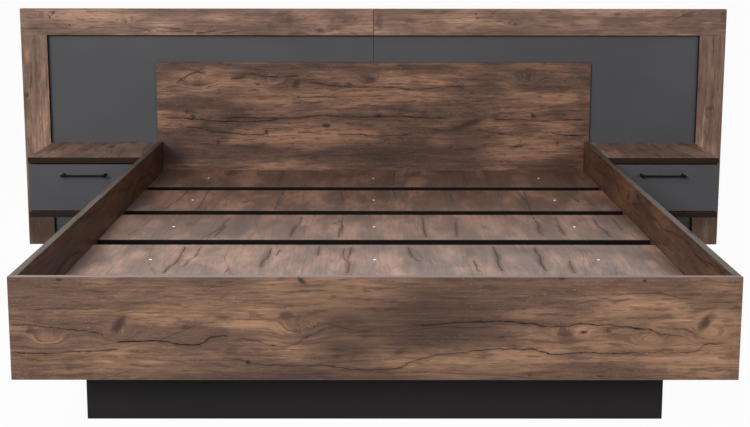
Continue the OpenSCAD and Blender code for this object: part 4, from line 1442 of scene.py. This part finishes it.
def rolled_channel(height):
    """A U of sheet steel with its web at x = 0 and its open side towards +x."""
    half, lip = height / 2, CHANNEL_WIDTH - ROLLED_EDGE
    outside, inside = [], []
    for turn, side in ((180, -1), (90, 1)):
        for k in range(ROLLED_STEPS + 1):
            angle = math.radians(turn + 90 - 90 * k / ROLLED_STEPS)
            for points, radius in ((outside, ROLLED_BEND), (inside, ROLLED_BEND - SHEET)):
                points.append((ROLLED_BEND + radius * math.cos(angle),
                               side * (half - ROLLED_BEND) + radius * math.sin(angle)))
    return ([(lip, -half)] + outside
            + [(lip, half), (CHANNEL_WIDTH, half - ROLLED_EDGE),
               (CHANNEL_WIDTH, half - SHEET + ROLLED_EDGE), (lip, half - SHEET)]
            + inside[::-1]
            + [(lip, SHEET - half), (CHANNEL_WIDTH, SHEET - half - ROLLED_EDGE),
               (CHANNEL_WIDTH, ROLLED_EDGE - half)])


def runner_bar(name, height):
    outline = rolled_channel(height)
    return carried(name, [(0.0, outline), (RUNNER_LENGTH, outline)])


def facing_right(x):
    """Stands a bar along the bed with its open side towards +x."""
    return standing((x, RUNNER_START + RUNNER_LENGTH, RUNNER_HEIGHT), (90, 0, 0))


def facing_left(x):
    return standing((x, RUNNER_START, RUNNER_HEIGHT), (90, 0, 180))


channel_bar = runner_bar("channel_bar", 35)
slide_bar = runner_bar("slide_bar", 32)
CASE_INSIDE = (736, 1050)
DRAWER_OUTSIDE = (748.7, 1037.3)
for name, side in HANDS.items():
    case_faces = sorted(side * x for x in CASE_INSIDE)
    drawer_faces = sorted(side * x for x in DRAWER_OUTSIDE)
    set_out(name + "_runner_channels", channel_bar,
            [facing_right(case_faces[0]), facing_left(case_faces[1])],
            rolled_steel)
    set_out(name + "_runner_slides", slide_bar,
            [facing_left(drawer_faces[0]), facing_right(drawer_faces[1])],
            rolled_steel, name + "_drawer")

# %% [markdown]
# ## Drawer handles
#
# The handles are slim cast bars on two posts. At each post the bar swells, and
# outside it runs out to a blunt point. A shape like that is made from sections: at
# each place along the bar a small rounded square says how high it is and how far it
# reaches from front to back, and neighbouring sections are joined. The posts are
# made the same way, from the drawer front outwards.

# %% Handles
HANDLE_OUT = 30
BAR_DEPTH = 7
DRAWER_FRONT_FACE = 1672
# Distance from the handle's middle, half height and half depth of the bar there
BAR_SHAPE = [(0, 2.9, 3.1), (44, 2.9, 3.1), (53, 3.1, 3.2), (59, 4.6, 3.5), (63, 5.8, 3.5),
             (66, 5.0, 3.4), (69.5, 2.8, 2.8), (72.5, 1.0, 1.4)]
# Distance from the drawer front, half width and half height of the post there
POST_SHAPE = [(0.0, 4.2, 4.2), (1.5, 4.2, 4.2), (3.0, 3.3, 3.3), (18.0, 3.3, 3.6),
              (23.5, 3.5, 4.8)]


def rounded_square(half_width, half_height, corner=0.35):
    """Sixteen points round a square, with corners cut by a share of the smaller half size."""
    cut = corner * min(half_width, half_height)
    arc = [(half_width, half_height - cut),
           (half_width - 0.3 * cut, half_height - 0.3 * cut), (half_width - cut, half_height)]
    points = []
    for sx, sy in ((1, 1), (-1, 1), (-1, -1), (1, -1)):
        corner_points = [(sx * x, sy * y) for x, y in arc]
        if sx == sy:
            points += corner_points + [(0.0, sy * half_height)]
        else:
            points += corner_points[::-1] + [(sx * half_width, 0.0)]
    return points


def turn_about(axis):
    return Matrix.Rotation(math.radians(90), 4, axis)


bar_sections = [(-x, high, deep) for x, high, deep in reversed(BAR_SHAPE[1:])] + BAR_SHAPE
bar = carried("bar", [(x, rounded_square(deep, high)) for x, high, deep in bar_sections])
post = carried("post", [(y, rounded_square(wide, high)) for y, wide, high in POST_SHAPE])
bar_place = Matrix.Translation(metres(0, BAR_DEPTH / 2 - HANDLE_OUT, 0))
handle = gathered("handle", [(bar, bar_place @ turn_about("Y") @ turn_about("Z"))] + [
    (post, Matrix.Translation(metres(x, 0, 0)) @ turn_about("X"))
    for x in (-HANDLE_HALF_SPAN, HANDLE_HALF_SPAN)])
for name, side in HANDS.items():
    set_out(name + "_drawer_handle", handle,
            [standing((side * NIGHTSTAND_MIDDLE, DRAWER_FRONT_FACE, HANDLE_HEIGHT))],
            black_paint, name + "_drawer", crease=50)

# %% [markdown]
# ## Edge bands
#
# A cut edge of a laminated board is closed with a thin strip of plastic, glued on.
# On the base boards it is black, so the gaps between them read as dark lines, and on
# the fronts of the nightstands it is dark brown. A strip like that doesn't shine
# like the laminate, so it is its own piece, less than half a millimetre thick, that
# lies on the edge of its board. Its length and height come from the board's box.

# %% Edge bands
BAND = 0.4 * MM
BOARD_CHAMFER = 0.8 * MM
BAND_GRIT = (30.0, 700.0)


def edge_band(board, side, material, body="root"):
    """A strip on the front (side -1) or back (side 1) edge of a board."""
    low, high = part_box(board)
    y = low[1] if side < 0 else high[1]
    bottom, top = low[2] + BOARD_CHAMFER, high[2] - BOARD_CHAMFER
    section = [(0.0, bottom), (BAND / 2, bottom), (BAND, bottom + BAND / 2),
               (BAND, top - BAND / 2), (BAND / 2, top), (0.0, top)]
    name = board + ("_front_band" if side < 0 else "_back_band")
    mesh = solid_of_rings(name, [[(x, y + side * out, z) for out, z in section]
                                 for x in (low[0], high[0])])
    piece = new_piece(name, mesh, material)
    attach(piece, body)
    return name


black_band = matt_coat("black_edge_band", paint(10, 6, 5), paint(18, 11, 9),
                       0.7, 0.08, *BAND_GRIT)
brown_band = matt_coat("brown_edge_band", paint(34, 23, 18), paint(48, 34, 27),
                       0.7, 0.08, *BAND_GRIT)
# The first base board lies against the footboard and the last one against the headboard
hidden_edges = [(BASE_BOARDS[0], -1), (BASE_BOARDS[-1], 1)]
bands = [edge_band(board, side, black_band)
         for board in BASE_BOARDS for side in (-1, 1) if (board, side) not in hidden_edges]
bands += [edge_band(f"{hand}_nightstand_{board}", -1, brown_band)
          for hand in HANDS for board in ("top", "bottom")]
print(len(bands), "edge bands:", ", ".join(bands))

# %% [markdown]
# ## Floor
#
# A product photograph like this one is taken on white paper under large soft lamps.
# The floor here is a big plane that the camera sees as nearly white, with just
# enough of its real shading left to show the shadow of the bed. Inside the plinth
# the paper isn't made to glow, so it stays dark between the base boards.

# %% Floor
FLOOR_HALF = 40.0
SHADOW_SHARE = 0.03


def seen_rays(tree):
    """1 for rays that show a picture of the place: to the camera, in mirrors, through glass."""
    rays = add_node(tree, "ShaderNodeLightPath").outputs
    return strongest(tree, [rays["Is Camera Ray"], rays["Is Glossy Ray"],
                            rays["Is Transmission Ray"]])


def under_the_bed(tree):
    """1 on the paper inside the plinth, where no light comes; seen only through the gaps."""
    parts = split(tree, place_on_bed(tree))
    left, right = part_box("plinth_left_side")[1][0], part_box("plinth_right_side")[0][0]
    front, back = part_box("plinth_front")[1][1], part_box("plinth_back")[0][1]
    inside = 1.0
    for axis, low, high in (("X", left, right), ("Y", front, back)):
        inside = both(tree, inside, calculate(tree, "GREATER_THAN", parts[axis], low))
        inside = both(tree, inside, calculate(tree, "LESS_THAN", parts[axis], high))
    return inside


def white_paper(name, shadow_share):
    """Diffuse white paper, of which the camera and mirrors see only shadow_share."""
    material, tree, surface = new_material(name)
    set_inputs(tree, surface, {"Base Color": (0.6, 0.6, 0.6, 1.0), "Roughness": 1.0,
                               "Specular IOR Level": 0.0})
    glow = add_node(tree, "ShaderNodeEmission", {"Color": (1.0, 1.0, 1.0, 1.0), "Strength": 1.0})
    amount = both(tree, seen_rays(tree), 1.0 - shadow_share)
    amount = both(tree, amount, calculate(tree, "SUBTRACT", 1.0, under_the_bed(tree)))
    mix = add_node(tree, "ShaderNodeMixShader",
                   {0: amount, 1: surface.outputs[0], 2: glow.outputs[0]})
    tree.links.new(mix.outputs[0], tree.nodes["Material Output"].inputs["Surface"])
    return material


floor_mesh = bpy.data.meshes.new("floor")
floor_mesh.from_pydata([(x * FLOOR_HALF, y * FLOOR_HALF, 0.0)
                        for x, y in ((-1, -1), (1, -1), (1, 1), (-1, 1))], [], [(0, 1, 2, 3)])
floor = new_piece("floor", floor_mesh, white_paper("white_paper", SHADOW_SHARE))
print("the floor is", 2 * FLOOR_HALF, "m wide")

# %% [markdown]
# ## Light
#
# Two large lamps stand far in front of the bed, the stronger one on the left, as the
# shadow of the left side rail shows. A small one hangs in front of the foot end, and a
# faint one behind the panel shines over it onto the base boards. The room itself gives only
# a little light, though the camera sees it white. Area lamps are used, because only a
# lamp with a size gives soft shadows.

# %% World and lamps
STUDIO_LEVEL = 0.08
world = bpy.data.worlds.new("studio")
bpy.context.scene.world = world
world.use_nodes = True
tree = world.node_tree
set_inputs(tree, tree.nodes["Background"], {
    "Color": (1.0, 1.0, 1.0, 1.0),
    "Strength": fade(tree, seen_rays(tree), 0.0, 1.0, STUDIO_LEVEL, 1.0)})


def soft_lamp(name, place, aim, width, height, watts):
    lamp = bpy.data.lights.new(name, "AREA")
    lamp.shape = "RECTANGLE"
    lamp.size, lamp.size_y = width, height
    lamp.energy = watts
    lamp_object = bpy.data.objects.new(name, lamp)
    lamp_object.location = place
    direction = Vector(aim) - Vector(place)
    lamp_object.rotation_euler = direction.to_track_quat("-Z", "Y").to_euler()
    lamp_object.visible_camera = False
    bpy.context.scene.collection.objects.link(lamp_object)
    print(name, "at", place, "with", watts, "W")


soft_lamp("key_lamp", (-4.8, -11.4, 4.4), (0.0, 0.6, 0.5), 2.4, 2.4, 880)
soft_lamp("right_lamp", (5.0, -11.5, 3.6), (0.2, 0.0, 0.3), 3.0, 3.0, 290)
soft_lamp("overhead_lamp", (-0.9, -1.5, 2.1), (-0.2, -0.8, 0.3), 1.6, 0.8, 27)
soft_lamp("back_lamp", (0.0, 2.6, 1.7), (0.0, -0.6, 0.27), 3.0, 0.7, 14)

# %% [markdown]
# ## Camera
#
# The camera stands a little left of the middle, about as high as a seated eye would
# be, and looks slightly down. Its place and its focal length were found by matching
# the corners of the boards to the photograph.

# %% Camera
CAMERA_PLACE = Vector((-0.0098, -3.74852, 0.99102))
LOOK_DOWN = math.radians(10.358)
TURN_RIGHT = math.radians(0.185)
ROLL = math.radians(0.072)
FOCAL_PIXELS = 1435.67
PICTURE_WIDTH = 750
SENSOR_WIDTH = 36.0

camera_data = bpy.data.cameras.new("camera")
camera_data.sensor_width = SENSOR_WIDTH
camera_data.sensor_fit = "HORIZONTAL"
camera_data.lens = SENSOR_WIDTH * FOCAL_PIXELS / PICTURE_WIDTH
camera = bpy.data.objects.new("camera", camera_data)
camera.matrix_world = (Matrix.Translation(CAMERA_PLACE)
                       @ Matrix.Rotation(-TURN_RIGHT, 4, "Z")
                       @ Matrix.Rotation(math.pi / 2 - LOOK_DOWN, 4, "X")
                       @ Matrix.Rotation(ROLL, 4, "Z"))
bpy.context.scene.collection.objects.link(camera)
bpy.context.scene.camera = camera
bpy.context.scene.view_settings.view_transform = "Standard"
print("lens:", round(camera_data.lens, 2), "mm")
